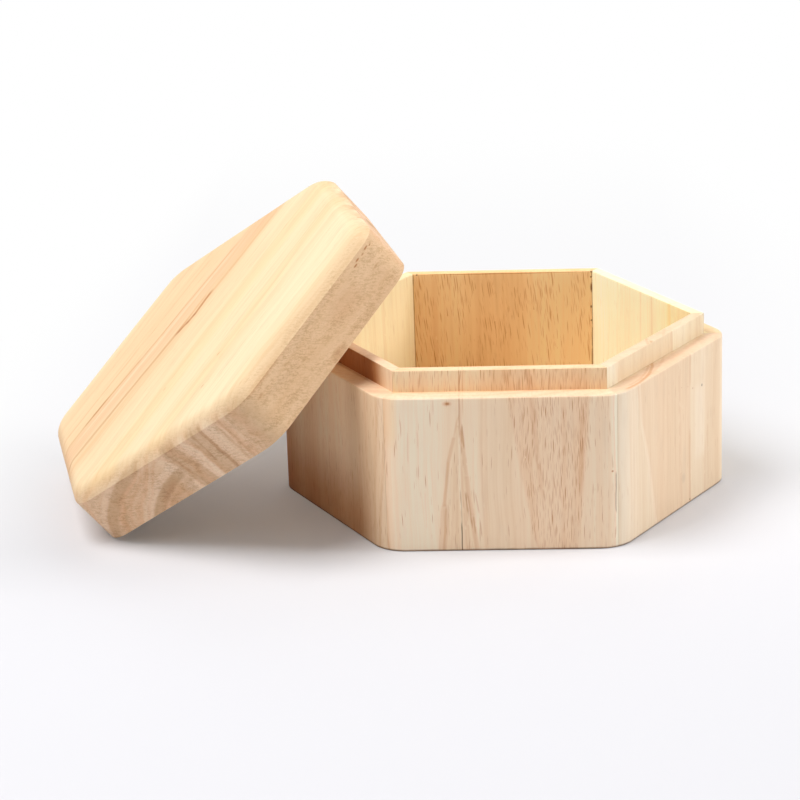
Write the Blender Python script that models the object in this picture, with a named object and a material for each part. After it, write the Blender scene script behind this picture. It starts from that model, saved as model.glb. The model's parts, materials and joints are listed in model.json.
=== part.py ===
"""Hexagonal wooden box with a lift-off lid.

Six wall panels with upright grain are mitred together round a base panel that sits in a rebate.
The outer part of every wall stops at a shoulder, and the inner part runs on upwards as a lip.
The lid is one thick board with a groove round its underside, which drops over that lip.
It is shown taken off: it stands on one of its edges beside the box and leans on the lip's
left-hand corner. The origin is the middle of the box's underside, and the front faces -Y.
"""

import math

import bmesh
import bpy
from mathutils import Matrix, Vector

# Driving dimensions, in metres
ACROSS_FLATS = 0.130
CORNER_RADIUS = 0.012
SHOULDER_HEIGHT = 0.051
LIP_HEIGHT = 0.007
WALL_THICKNESS = 0.0106
LEDGE_WIDTH = 0.0068
BASE_THICKNESS = 0.006
BASE_REBATE_WIDTH = 0.005
LID_THICKNESS = 0.0215
LID_ROUNDOVER = 0.006

# Small edges
SHOULDER_EASING = 0.0005
LIP_EASING = 0.0004
GROOVE_CUTTER_RADIUS = 0.0022
GROOVE_INNER_CORNER_RADIUS = 0.001
SMALLEST_RADIUS = 0.0002

# Fits between the pieces
MITRE_GAP = 0.0003
BASE_FIT = 0.0003
GROOVE_CLEARANCE = 0.0005
GROOVE_SPARE_DEPTH = 0.0005

# How the lid leans: the way its top faces, where its underside meets the lip's corner,
# measured from the middle of the underside up the slope and along the foot, and the gap there
LEAN_HEADING = math.radians(-166.3)
LEAN_CONTACT_UP_SLOPE = 0.0259
LEAN_CONTACT_ALONG_FOOT = 0.0003
LEAN_GAP = 0.0003
LID_FOOT_FACE = math.radians(-30)

# Smoothness of the round stretches
HALF_CORNER_STEPS = 6
ROUNDOVER_STEPS = 6
SHARP_EDGE_ANGLE = math.radians(25)

SIDES = 6
HALF_SECTOR = math.pi / SIDES
APOTHEM = ACROSS_FLATS / 2
LIP_TOP = SHOULDER_HEIGHT + LIP_HEIGHT
LIP_OUTER = APOTHEM - LEDGE_WIDTH
LIP_INNER = APOTHEM - WALL_THICKNESS

# Each wall's outward direction in degrees, and its timber's colour
WALLS = {
    "wall_front": (-90, (0.66, 0.52, 0.37)),
    "wall_front_right": (-30, (0.74, 0.61, 0.45)),
    "wall_back_right": (30, (0.76, 0.62, 0.43)),
    "wall_back": (90, (0.62, 0.42, 0.22)),
    "wall_back_left": (150, (0.72, 0.55, 0.35)),
    "wall_front_left": (210, (0.62, 0.45, 0.30)),
}
BASE_COLOUR = (0.68, 0.53, 0.36)
LID_COLOUR = (0.78, 0.62, 0.42)
WOOD_ROUGHNESS = 0.62


def clear_scene():
    """Empty the file of every object that it starts with."""
    for obj in list(bpy.data.objects):
        bpy.data.objects.remove(obj, do_unlink=True)


def wood(name, colour):
    """A sanded, unvarnished timber in one colour."""
    material = bpy.data.materials.new(name)
    material.use_nodes = True
    shader = material.node_tree.nodes["Principled BSDF"]
    shader.inputs["Base Color"].default_value = (*colour, 1.0)
    shader.inputs["Roughness"].default_value = WOOD_ROUGHNESS
    shader.inputs["Metallic"].default_value = 0.0
    material.diffuse_color = (*colour, 1.0)
    return material


def mesh_from_loops(name, loops):
    """Skin a row of equally long point loops and cap both ends."""
    shape = bmesh.new()
    rows = [[shape.verts.new(point) for point in loop] for loop in loops]
    for row, after in zip(rows, rows[1:]):
        count = len(row)
        for index in range(count):
            beside = (index + 1) % count
            shape.faces.new((row[index], row[beside], after[beside], after[index]))
    shape.faces.new(rows[0])
    shape.faces.new(rows[-1])
    bmesh.ops.recalc_face_normals(shape, faces=shape.faces)
    mesh = bpy.data.meshes.new(name)
    shape.to_mesh(mesh)
    shape.free()
    mesh.shade_smooth()
    mesh.set_sharp_from_angle(angle=SHARP_EDGE_ANGLE)
    return mesh


def add_object(name, mesh, material):
    """Put a mesh into the scene with a material of its own."""
    obj = bpy.data.objects.new(name, mesh)
    bpy.context.scene.collection.objects.link(obj)
    if not mesh.materials:
        mesh.materials.append(None)
    obj.material_slots[0].link = "OBJECT"
    obj.material_slots[0].material = material
    return obj


def mitre_half_length(distance):
    """Half the length of a wall at this distance from the box's axis, less the glue gap."""
    return distance * math.tan(HALF_SECTOR) - MITRE_GAP / 2 / math.cos(HALF_SECTOR)


def outer_face_plan(inset):
    """Plan of a wall's outer face, from mitre to mitre: half a corner, the flat, half a corner."""
    radius = max(CORNER_RADIUS - inset, SMALLEST_RADIUS)
    centre_x = APOTHEM - inset - radius
    centre_y = centre_x * math.tan(HALF_SECTOR)
    last_angle = HALF_SECTOR - math.asin(MITRE_GAP / 2 / radius)
    right_half = []
    for step in range(HALF_CORNER_STEPS + 1):
        angle = last_angle * step / HALF_CORNER_STEPS
        right_half.append((centre_x + radius * math.cos(angle), centre_y + radius * math.sin(angle)))
    left_half = [(x, -y) for x, y in reversed(right_half)]
    return left_half + right_half


def wall_mesh():
    """One wall with its lip and the rebate for the base. Its outer face looks along +X."""
    rebate_top = BASE_THICKNESS + BASE_FIT
    rebate_inner = LIP_INNER + BASE_REBATE_WIDTH
    inner_profile = [
        (LIP_OUTER, SHOULDER_HEIGHT),
        (LIP_OUTER, LIP_TOP - LIP_EASING),
        (LIP_OUTER - LIP_EASING, LIP_TOP),
        (LIP_INNER + LIP_EASING, LIP_TOP),
        (LIP_INNER, LIP_TOP - LIP_EASING),
        (LIP_INNER, rebate_top),
        (rebate_inner, rebate_top),
        (rebate_inner, 0.0),
    ]
    face_plan = outer_face_plan(0.0)
    eased_plan = outer_face_plan(SHOULDER_EASING)
    end_y = face_plan[-1][1]
    sections = []
    for face_point, eased_point in zip(face_plan, eased_plan):
        share = face_point[1] / end_y
        section = [
            Vector((*face_point, 0.0)),
            Vector((*face_point, SHOULDER_HEIGHT - SHOULDER_EASING)),
            Vector((*eased_point, SHOULDER_HEIGHT)),
        ]
        for x, z in inner_profile:
            section.append(Vector((x, share * mitre_half_length(x), z)))
        sections.append(section)
    return mesh_from_loops("wall_panel", sections)


def hexagon_ring(apothem, height, radius=0.0, corner_steps=0):
    """A level hexagon with corners at 0, 60, 120 degrees and so on, rounded where radius is given."""
    points = []
    centre_distance = (apothem - radius) / math.cos(HALF_SECTOR)
    for corner in range(SIDES):
        direction = 2 * HALF_SECTOR * corner
        centre = centre_distance * Vector((math.cos(direction), math.sin(direction), 0.0))
        for step in range(corner_steps + 1):
            turn = HALF_SECTOR * (2 * step / corner_steps - 1) if corner_steps else 0.0
            around = Vector((math.cos(direction + turn), math.sin(direction + turn), 0.0))
            points.append(centre + radius * around + Vector((0.0, 0.0, height)))
    return points


def base_mesh():
    """The base panel, flush with the walls' undersides in their rebate."""
    apothem = LIP_INNER + BASE_REBATE_WIDTH - BASE_FIT
    rings = [hexagon_ring(apothem, 0.0), hexagon_ring(apothem, BASE_THICKNESS)]
    return mesh_from_loops("base_panel", rings)


def lid_mesh():
    """The lid, underside at Z = 0: a board with a groove for the lip and a rounded top edge."""
    groove_inner = LIP_INNER - GROOVE_CLEARANCE
    groove_outer = LIP_OUTER + GROOVE_CLEARANCE
    groove_depth = LIP_HEIGHT + GROOVE_SPARE_DEPTH
    steps = 2 * HALF_CORNER_STEPS
    rings = [
        hexagon_ring(groove_inner, 0.0, GROOVE_INNER_CORNER_RADIUS, steps),
        hexagon_ring(groove_inner, groove_depth, GROOVE_INNER_CORNER_RADIUS, steps),
        hexagon_ring(groove_outer, groove_depth, GROOVE_CUTTER_RADIUS, steps),
        hexagon_ring(groove_outer, 0.0, GROOVE_CUTTER_RADIUS, steps),
        hexagon_ring(APOTHEM, 0.0, CORNER_RADIUS, steps),
    ]
    for step in range(ROUNDOVER_STEPS + 1):
        angle = math.pi / 2 * step / ROUNDOVER_STEPS
        inset = LID_ROUNDOVER * (1 - math.cos(angle))
        height = LID_THICKNESS - LID_ROUNDOVER * (1 - math.sin(angle))
        radius = max(CORNER_RADIUS - inset, SMALLEST_RADIUS)
        rings.append(hexagon_ring(APOTHEM - inset, height, radius, steps))
    return mesh_from_loops("lid", rings)


def leaning_pose():
    """Where the lid stands: one edge of its underside is on the table, and the underside
    lies across the lip's left-hand corner. Returns the place of the underside's middle and
    the turn of the lid."""
    lip_corner = Vector((-(LIP_OUTER - LIP_EASING) / math.cos(HALF_SECTOR), 0.0, LIP_TOP))
    reach = APOTHEM + LEAN_CONTACT_UP_SLOPE
    tilt = math.asin(LIP_TOP / math.hypot(reach, LEAN_GAP)) + math.atan(LEAN_GAP / reach)
    heading = Matrix.Rotation(LEAN_HEADING, 3, "Z")
    turn = heading @ Matrix.Rotation(tilt, 3, "Y") @ Matrix.Rotation(-LID_FOOT_FACE, 3, "Z")
    down_slope = heading @ Vector((math.cos(tilt), 0.0, -math.sin(tilt)))
    along_foot = heading @ Vector((0.0, 1.0, 0.0))
    normal = heading @ Vector((math.sin(tilt), 0.0, math.cos(tilt)))
    middle = lip_corner + LEAN_CONTACT_UP_SLOPE * down_slope
    middle += LEAN_CONTACT_ALONG_FOOT * along_foot + LEAN_GAP * normal
    return middle, turn


def build():
    """Make every piece of the box and put it in its place."""
    clear_scene()
    panel = wall_mesh()
    for name, (direction, colour) in WALLS.items():
        wall = add_object(name, panel, wood(name, colour))
        wall.rotation_euler = (0.0, 0.0, math.radians(direction))
    add_object("base_panel", base_mesh(), wood("base_panel", BASE_COLOUR))

    middle, turn = leaning_pose()
    lift_axis = bpy.data.objects.new("lid_lift_axis", None)
    bpy.context.scene.collection.objects.link(lift_axis)
    lift_axis.location = middle
    lid = add_object("lid", lid_mesh(), wood("lid", LID_COLOUR))
    lid.parent = lift_axis
    lid.rotation_euler = turn.to_euler()


build()
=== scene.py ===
"""Looks of the hexagonal wooden box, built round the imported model.

The box is six mitred walls with upright grain, a let-in base panel and a thick lid that leans on
the lip's left-hand corner. Each board is swept from its own section by one Geometry Nodes tree,
and each is dressed in timber whose figure runs through the board, so that faces, shoulders and
end grain agree. Lengths are in metres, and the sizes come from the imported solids. Inside the
materials, lengths are in millimetres of the board.
"""

import json
import logging
import math
from dataclasses import dataclass
from enum import Enum
from typing import Sequence, Union

import bmesh
import bpy
from mathutils import Euler, Matrix, Vector

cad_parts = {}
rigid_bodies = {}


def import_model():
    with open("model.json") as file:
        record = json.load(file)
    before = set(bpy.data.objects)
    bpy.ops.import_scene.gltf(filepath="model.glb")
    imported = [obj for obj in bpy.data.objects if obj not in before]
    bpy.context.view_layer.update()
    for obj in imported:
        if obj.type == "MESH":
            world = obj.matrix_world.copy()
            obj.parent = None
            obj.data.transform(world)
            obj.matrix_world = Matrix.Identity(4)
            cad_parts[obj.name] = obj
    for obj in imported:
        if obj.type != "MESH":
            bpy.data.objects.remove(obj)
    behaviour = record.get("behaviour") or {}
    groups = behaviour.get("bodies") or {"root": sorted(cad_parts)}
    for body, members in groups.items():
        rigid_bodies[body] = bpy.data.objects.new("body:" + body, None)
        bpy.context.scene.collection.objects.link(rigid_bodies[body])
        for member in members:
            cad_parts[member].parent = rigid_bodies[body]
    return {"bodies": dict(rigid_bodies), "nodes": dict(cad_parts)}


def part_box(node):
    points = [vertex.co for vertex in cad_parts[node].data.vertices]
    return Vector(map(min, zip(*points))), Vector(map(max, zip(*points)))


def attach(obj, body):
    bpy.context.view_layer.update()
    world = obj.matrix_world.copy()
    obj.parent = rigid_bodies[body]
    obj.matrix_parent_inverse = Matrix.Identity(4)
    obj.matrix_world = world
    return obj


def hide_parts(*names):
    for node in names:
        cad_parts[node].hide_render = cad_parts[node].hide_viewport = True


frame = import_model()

logging.basicConfig(level=logging.INFO, format="%(name)s: %(message)s")
LOG = logging.getLogger("hexagonal_box")

Colour = tuple[float, float, float]
MM = 0.001
SIDES = 6
HALF_SECTOR = math.pi / SIDES
QUARTER = math.pi / 2
ORIGIN = (0.0, 0.0, 0.0)
WHITE = (1.0, 1.0, 1.0)


class WallSide(Enum):
    """The six walls: each CAD node with its outward direction in degrees."""

    FRONT = ("wall_front", -90.0)
    FRONT_RIGHT = ("wall_front_right", -30.0)
    BACK_RIGHT = ("wall_back_right", 30.0)
    BACK = ("wall_back", 90.0)
    BACK_LEFT = ("wall_back_left", 150.0)
    FRONT_LEFT = ("wall_front_left", 210.0)

    @property
    def node(self) -> str:
        """Name of the wall's CAD node, which is its material slot too."""
        return self.value[0]

    @property
    def heading(self) -> float:
        """Direction in which the wall's outer face looks, in radians."""
        return math.radians(self.value[1])


def node_points(node: str) -> list[Vector]:
    """Distinct points of a CAD node.

    Args:
        node: name of the node.

    Returns:
        Its points in metres, each once.
    """
    vertices = frame["nodes"][node].data.vertices
    places = {tuple(round(value, 6) for value in vertex.co) for vertex in vertices}
    return [Vector(place) for place in sorted(places)]


def hexagon_distance(point: Vector) -> float:
    """Distance of a point from the middle, measured square to the nearest flat side.

    Args:
        point: a place in a hexagon's own plane, with corners at 0 and 60 degrees.

    Returns:
        The apothem of the hexagon through that point.
    """
    return max(
        point.x * math.cos(angle) + point.y * math.sin(angle)
        for angle in (HALF_SECTOR * (2 * side + 1) for side in range(SIDES))
    )


@dataclass(frozen=True)
class BoxSizes:
    """Sizes of the box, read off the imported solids. An apothem runs from the middle to a flat side.

    Attributes:
        apothem: apothem of the outer faces.
        shoulder: height of the shoulder.
        lip_top: height of the lip's top.
        lip_outer: apothem of the lip's outer face.
        lip_inner: apothem of the walls' inner faces.
        base_apothem: apothem of the base panel.
        base_top: height of the base panel's top.
        rebate_apothem: apothem of the rebate that takes the panel.
        rebate_top: height of the rebate.
    """

    apothem: float
    shoulder: float
    lip_top: float
    lip_outer: float
    lip_inner: float
    base_apothem: float
    base_top: float
    rebate_apothem: float
    rebate_top: float

    @classmethod
    def from_frame(cls) -> "BoxSizes":
        """Measure the front wall and the base panel.

        Returns:
            The sizes of the whole box.
        """
        near = 0.5 * MM
        front = node_points(WallSide.FRONT.node)
        lip_top = max(point.z for point in front)
        lip_outer = max(-point.y for point in front if point.z > lip_top - near)
        lip_inner = min(-point.y for point in front)
        panel_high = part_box("base_panel")[1]
        return cls(
            apothem=max(-point.y for point in front),
            shoulder=max(point.z for point in front if -point.y > lip_outer + 2 * near),
            lip_top=lip_top,
            lip_outer=lip_outer,
            lip_inner=lip_inner,
            base_apothem=panel_high.y,
            base_top=panel_high.z,
            rebate_apothem=min(-point.y for point in front if point.z < near),
            rebate_top=min(point.z for point in front if -point.y < lip_inner + near),
        )


@dataclass(frozen=True)
class LidSizes:
    """Sizes of the lid and where it leans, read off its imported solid.

    Attributes:
        middle: middle of the underside.
        turn: columns are the grain, the way across it and the way the top faces.
        apothem: distance from the middle to a flat side.
        thickness: thickness of the board.
        groove_depth: depth of the groove that takes the lip.
        groove_inner: apothem of the groove's inner wall.
        groove_outer: apothem of its outer wall.
    """

    middle: Vector
    turn: Matrix
    apothem: float
    thickness: float
    groove_depth: float
    groove_inner: float
    groove_outer: float

    @classmethod
    def from_frame(cls) -> "LidSizes":
        """Find the lid's place and sizes from its points.

        The foot is the edge that stands on the table, and the grain runs 30 degrees from the
        direction in which the foot's side looks. The points lie evenly round the lid's middle.

        Returns:
            The lid's sizes and place.
        """
        near = 0.05 * MM
        past_foot = 10 * MM
        points = node_points("lid")
        foot = [point for point in points if point.z < near]
        foot_middle = sum(foot, Vector()) / len(foot)
        farthest = max(foot, key=lambda point: (point - foot_middle).length)
        along = (farthest - foot_middle).normalized()
        up = Vector((0.0, 0.0, 1.0))
        level = up.cross(along)
        if level.dot(sum(points, Vector()) / len(points) - foot_middle) < 0:
            level = -level
        beyond_foot = [point for point in points if (point - foot_middle).dot(level) > past_foot]
        slope = min(math.atan2(point.z, (point - foot_middle).dot(level)) for point in beyond_foot)
        down = -(level * math.cos(slope) + up * math.sin(slope))
        if down.cross(along).z < 0:
            along = -along
        grain = down * math.cos(HALF_SECTOR) + along * math.sin(HALF_SECTOR)
        top = down.cross(along)
        turn = Matrix((grain, top.cross(grain), top)).transposed()
        local = [turn.transposed() @ (point - foot_middle) for point in points]
        centre = Vector((sum(p.x for p in local), sum(p.y for p in local), 0.0)) / len(local)
        local = [point - centre for point in local]
        levels = sorted({round(point.z, 4) for point in local})
        in_groove = [hexagon_distance(p) for p in local if abs(p.z - levels[1]) < 2 * near]
        return cls(
            middle=foot_middle + turn @ centre,
            turn=turn,
            apothem=max(hexagon_distance(point) for point in local),
            thickness=levels[-1],
            groove_depth=levels[1],
            groove_inner=min(in_groove),
            groove_outer=max(in_groove),
        )


@dataclass(frozen=True)
class SectionPoint:
    """A corner of a board's section.

    Attributes:
        apothem: distance from the hexagon's middle to its flat side.
        corner: radius of the hexagon's corners at this point, 0 where they are sharp.
        height: height above the board's underside.
    """

    apothem: float
    corner: float
    height: float


def rounded_arris(
    apothem: float, height: float, radius: float, corner: float, steps: int, start: float, end: float
) -> list[SectionPoint]:
    """Points round an eased edge of a section.

    Args:
        apothem: apothem of the arc's middle.
        height: height of the arc's middle.
        radius: radius of the arc.
        corner: corner radius of the hexagon at the arc's outermost point.
        steps: number of steps along the arc.
        start: angle of the first point, where 0 looks outward and a quarter turn up.
        end: angle of the last point.

    Returns:
        The points in order. A round corner shrinks as the arc turns inward.
    """
    points = []
    for step in range(steps + 1):
        angle = start + (end - start) * step / steps
        outward = radius * math.cos(angle)
        shrunk = corner - radius + outward if corner else 0.0
        points.append(SectionPoint(apothem + outward, shrunk, height + radius * math.sin(angle)))
    return points


def straight_run(first: SectionPoint, last: SectionPoint, steps: int) -> list[SectionPoint]:
    """Points between two corners of a section, without the two.

    Args:
        first: where the run starts.
        last: where it ends.
        steps: number of equal parts.

    Returns:
        The points in between.
    """
    return [
        SectionPoint(
            first.apothem + (last.apothem - first.apothem) * step / steps,
            first.corner + (last.corner - first.corner) * step / steps,
            first.height + (last.height - first.height) * step / steps,
        )
        for step in range(1, steps)
    ]


Operand = Union["Wire", float, int]


class Wire:
    """A value in a node tree, on which formulas can be written with plain operators."""

    def __init__(self, graph: "Graph", socket: bpy.types.NodeSocket) -> None:
        """Wrap an output socket of a tree."""
        self.graph = graph
        self.socket = socket

    def __add__(self, other: Operand) -> "Wire":
        """Sum of two values."""
        return self.graph.math("ADD", self, other)

    def __radd__(self, other: Operand) -> "Wire":
        """Sum of two values."""
        return self.graph.math("ADD", other, self)

    def __sub__(self, other: Operand) -> "Wire":
        """Difference of two values."""
        return self.graph.math("SUBTRACT", self, other)

    def __rsub__(self, other: Operand) -> "Wire":
        """Difference of two values."""
        return self.graph.math("SUBTRACT", other, self)

    def __mul__(self, other: Operand) -> "Wire":
        """Product of two values."""
        return self.graph.math("MULTIPLY", self, other)

    def __rmul__(self, other: Operand) -> "Wire":
        """Product of two values."""
        return self.graph.math("MULTIPLY", other, self)

    def __truediv__(self, other: Operand) -> "Wire":
        """Quotient of two values."""
        return self.graph.math("DIVIDE", self, other)


class Graph:
    """A node tree that is written as formulas, for a material or a shape."""

    def __init__(self, tree: bpy.types.NodeTree) -> None:
        """Work on a tree."""
        self.tree = tree

    def node(self, kind: str, **settings: object) -> bpy.types.Node:
        """Add a node and set its properties.

        Args:
            kind: identifier of the node.
            **settings: properties by name.

        Returns:
            The node.
        """
        made = self.tree.nodes.new(kind)
        for name, value in settings.items():
            setattr(made, name, value)
        return made

    def feed(self, socket: bpy.types.NodeSocket, value: object) -> None:
        """Link a wire to an input, or set the input to a constant.

        Args:
            socket: the input.
            value: a wire, a number, a tuple or a colour.
        """
        if isinstance(value, Wire):
            self.tree.links.new(value.socket, socket)
        elif socket.type == "RGBA" and len(value) == 3:
            socket.default_value = (*value, 1.0)
        else:
            socket.default_value = value

    def fill(self, made: bpy.types.Node, inputs: Union[Sequence, dict]) -> bpy.types.Node:
        """Feed several inputs of a node.

        Args:
            made: the node.
            inputs: values in the inputs' order, or by number or name.

        Returns:
            The node.
        """
        for name, value in inputs.items() if isinstance(inputs, dict) else enumerate(inputs):
            self.feed(made.inputs[name], value)
        return made

    def use(self, kind: str, inputs: Union[Sequence, dict], **settings: object) -> Wire:
        """Add a node, set its properties, feed its inputs and take its first output."""
        return Wire(self, self.fill(self.node(kind, **settings), inputs).outputs[0])

    def math(self, operation: str, *values: Operand) -> Wire:
        """Result of a mathematical operation on one to three values."""
        return self.use("ShaderNodeMath", values, operation=operation)

    def vector(self, x: Operand, y: Operand, z: Operand) -> Wire:
        """A vector from three numbers."""
        return self.use("ShaderNodeCombineXYZ", (x, y, z))

    def parts(self, vector: Wire) -> tuple[Wire, Wire, Wire]:
        """The three numbers of a vector."""
        made = self.fill(self.node("ShaderNodeSeparateXYZ"), (vector,))
        return tuple(Wire(self, output) for output in made.outputs)

    def clamp(self, value: Wire) -> Wire:
        """A value held between 0 and 1."""
        return self.math("MINIMUM", self.math("MAXIMUM", value, 0.0), 1.0)

    def length(self, x: Wire, y: Wire) -> Wire:
        """Length of the diagonal over two distances."""
        return self.math("SQRT", x * x + y * y)


class ShapeGraph(Graph):
    """A Geometry Nodes tree with named inputs."""

    def __init__(self, name: str) -> None:
        """Make the tree with its geometry input and output.

        Args:
            name: name of the tree.
        """
        super().__init__(bpy.data.node_groups.new(name, "GeometryNodeTree"))
        for way in ("INPUT", "OUTPUT"):
            self.tree.interface.new_socket("Geometry", in_out=way, socket_type="NodeSocketGeometry")
        self.entry = self.node("NodeGroupInput")
        self.exit = self.node("NodeGroupOutput")

    def input(self, name: str, kind: str) -> Wire:
        """Add a named input of a kind such as Float or Vector, and take its value."""
        self.tree.interface.new_socket(name, in_out="INPUT", socket_type=f"NodeSocket{kind}")
        return Wire(self, self.entry.outputs[name])

    def geometry(self) -> Wire:
        """The geometry that the modifier's object brings."""
        return Wire(self, self.entry.outputs["Geometry"])

    def capture(self, geometry: Wire, kind: str, source: str) -> tuple[Wire, Wire]:
        """Store a value on each point before the points are moved.

        Args:
            geometry: the geometry.
            kind: data type of the value.
            source: identifier of the node that gives it.

        Returns:
            The geometry, and the value as the later geometry carries it.
        """
        keeper = self.node("GeometryNodeCaptureAttribute")
        keeper.capture_items.new(kind, "value")
        self.fill(keeper, (geometry, self.use(source, ())))
        return Wire(self, keeper.outputs[0]), Wire(self, keeper.outputs[1])


class HexagonSweep:
    """Sweeps a board's section round a hexagon, or along one side of it between two mitres.

    The section comes in as a line of points whose x, y and z are a SectionPoint's apothem, corner
    radius and height. Stations run along each side: half a corner, the flat, half a corner.
    """

    # Steps round half a corner and along a flat
    CORNER_STEPS = 10
    FLAT_STEPS = 22
    # Points nearer than this are one, and corners rounder than twice the least radius count as round
    WELD = 0.002 * MM
    LEAST_RADIUS = 0.01 * MM
    # Width of the hollows that sanding leaves, and how much finer detail they have
    SWELL_WIDTH = 26 * MM
    SWELL_DETAIL = 1.5
    # Settings of a board that is the whole hexagon
    WHOLE_BOARD = {"Sectors": SIDES, "Mitre Gap": 0.0, "Fill Ends": False}

    def __init__(self, corner: float) -> None:
        """Build the tree for boards whose outline has corners of this radius."""
        self.graph = ShapeGraph("hexagon_sweep")
        self._build(corner)

    def _build(self, corner: float) -> None:
        """Write the whole tree.

        Args:
            corner: radius of the outline's corners.
        """
        graph = self.graph
        sectors = graph.input("Sectors", "Int")
        apothem = graph.input("Outline Apothem", "Float")
        gap = graph.input("Mitre Gap", "Float")
        fill_ends = graph.input("Fill Ends", "Bool")
        unevenness = graph.input("Unevenness", "Float")
        seed = graph.input("Seed", "Float")
        turn = graph.input("Turn", "Rotation")
        place = graph.input("Place", "Vector")
        finish = graph.input("Material", "Material")

        section = graph.use("GeometryNodeMeshToCurve", (graph.geometry(),))
        section, shape = graph.capture(section, "VECTOR", "GeometryNodeInputPosition")
        per_sector = 2 * self.CORNER_STEPS + self.FLAT_STEPS
        line = graph.use("GeometryNodeCurvePrimitiveLine", {"End": (0.0, 1.0, 0.0)})
        stations = {"Curve": line, "Count": sectors * per_sector + 1}
        path = graph.use("GeometryNodeResampleCurve", stations)
        path, index = graph.capture(path, "FLOAT", "GeometryNodeInputIndex")
        sweep = {"Curve": path, "Profile Curve": section, "Fill Caps": fill_ends}
        body = graph.use("GeometryNodeCurveToMesh", sweep)
        body = graph.use("GeometryNodeFlipFaces", (body,))

        sector = graph.math("FLOOR", (index + 0.5) / per_sector)
        sector = graph.math("MINIMUM", sector, sectors - 1)
        flat, bend = self._station(graph.math("ROUND", index - sector * per_sector))
        ring, radius, height = graph.parts(shape)
        x, y = self._outline(ring, radius, flat, bend, apothem, corner, gap)
        spin = {"Vector": graph.vector(x, y, height), "Angle": sector * (2 * HALF_SECTOR)}
        spun = graph.use("ShaderNodeVectorRotate", spin, rotation_type="Z_AXIS")
        body = graph.use("GeometryNodeSetPosition", {0: body, "Position": spun})
        body = graph.use("GeometryNodeMergeByDistance", {0: body, "Distance": self.WELD})
        body = self._hand_sanded(body, unevenness, seed)
        body = graph.use("GeometryNodeTransform", {0: body, "Rotation": turn, "Translation": place})
        body = graph.use("GeometryNodeSetShadeSmooth", {0: body, "Shade Smooth": True})
        body = graph.use("GeometryNodeRealizeInstances", (body,))
        body = graph.use("GeometryNodeSetMaterial", {0: body, "Material": finish})
        graph.feed(graph.exit.inputs[0], body)

    def _station(self, along: Wire) -> tuple[Wire, Wire]:
        """Where a station lies on its side of the hexagon.

        Args:
            along: number of the station on its side, from 0.

        Returns:
            The share along the flat from -1 to 1, and the share of the corner's turn from -1 to 1.
        """
        graph, corner, flat = self.graph, self.CORNER_STEPS, self.FLAT_STEPS
        along_flat = graph.clamp((along - corner) / flat) * 2.0 - 1.0
        before = graph.clamp((corner - along) / corner)
        after = graph.clamp((along - (corner + flat)) / corner)
        return along_flat, after - before

    def _outline(
        self,
        apothem: Wire,
        radius: Wire,
        flat: Wire,
        bend: Wire,
        outline_apothem: Wire,
        outline_corner: float,
        gap: Wire,
    ) -> tuple[Wire, Wire]:
        """Plan position of each point of the swept board.

        Args:
            apothem: apothem of the point's ring.
            radius: corner radius of that ring.
            flat: share along the flat.
            bend: share of the corner's turn.
            outline_apothem: apothem of the board's outermost ring.
            outline_corner: corner radius of the outermost ring.
            gap: gap that a mitre leaves between two boards.

        Returns:
            x outward from the middle, and y along the side.
        """
        graph = self.graph
        tangent = math.tan(HALF_SECTOR)
        safe = graph.math("MAXIMUM", radius, self.LEAST_RADIUS)
        most = HALF_SECTOR - graph.math("ARCSINE", graph.clamp(gap * 0.5 / safe))
        angle = bend * most
        middle = apothem - radius
        round_x = middle + radius * graph.math("COSINE", angle)
        round_y = flat * middle * tangent + radius * graph.math("SINE", angle)
        outer_middle = (outline_apothem - outline_corner) * tangent
        outer_y = flat * outer_middle + graph.math("SINE", bend * HALF_SECTOR) * outline_corner
        share = outer_y / (outer_middle + outline_corner * math.sin(HALF_SECTOR))
        mitre = apothem * tangent - gap * (0.5 / math.cos(HALF_SECTOR))
        sharp_y = share * graph.math("MAXIMUM", mitre, 0.0)
        is_round = graph.math("GREATER_THAN", radius, 2 * self.LEAST_RADIUS)
        return apothem + is_round * (round_x - apothem), sharp_y + is_round * (round_y - sharp_y)

    def _hand_sanded(self, body: Wire, unevenness: Wire, seed: Wire) -> Wire:
        """Sink the surface here and there, as sanding by hand does. Nothing is raised.

        Args:
            body: the swept board.
            unevenness: deepest sinking.
            seed: which of the uneven patterns.

        Returns:
            The board.
        """
        graph = self.graph
        lumps = {"W": seed, "Scale": 1 / self.SWELL_WIDTH, "Detail": self.SWELL_DETAIL}
        swell = graph.use("ShaderNodeTexNoise", lumps, noise_dimensions="4D")
        normal = graph.use("GeometryNodeInputNormal", ())
        sunk = {0: normal, "Scale": swell * unevenness * -1.0}
        offset = graph.use("ShaderNodeVectorMath", sunk, operation="SCALE")
        return graph.use("GeometryNodeSetPosition", {0: body, "Offset": offset})

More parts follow.
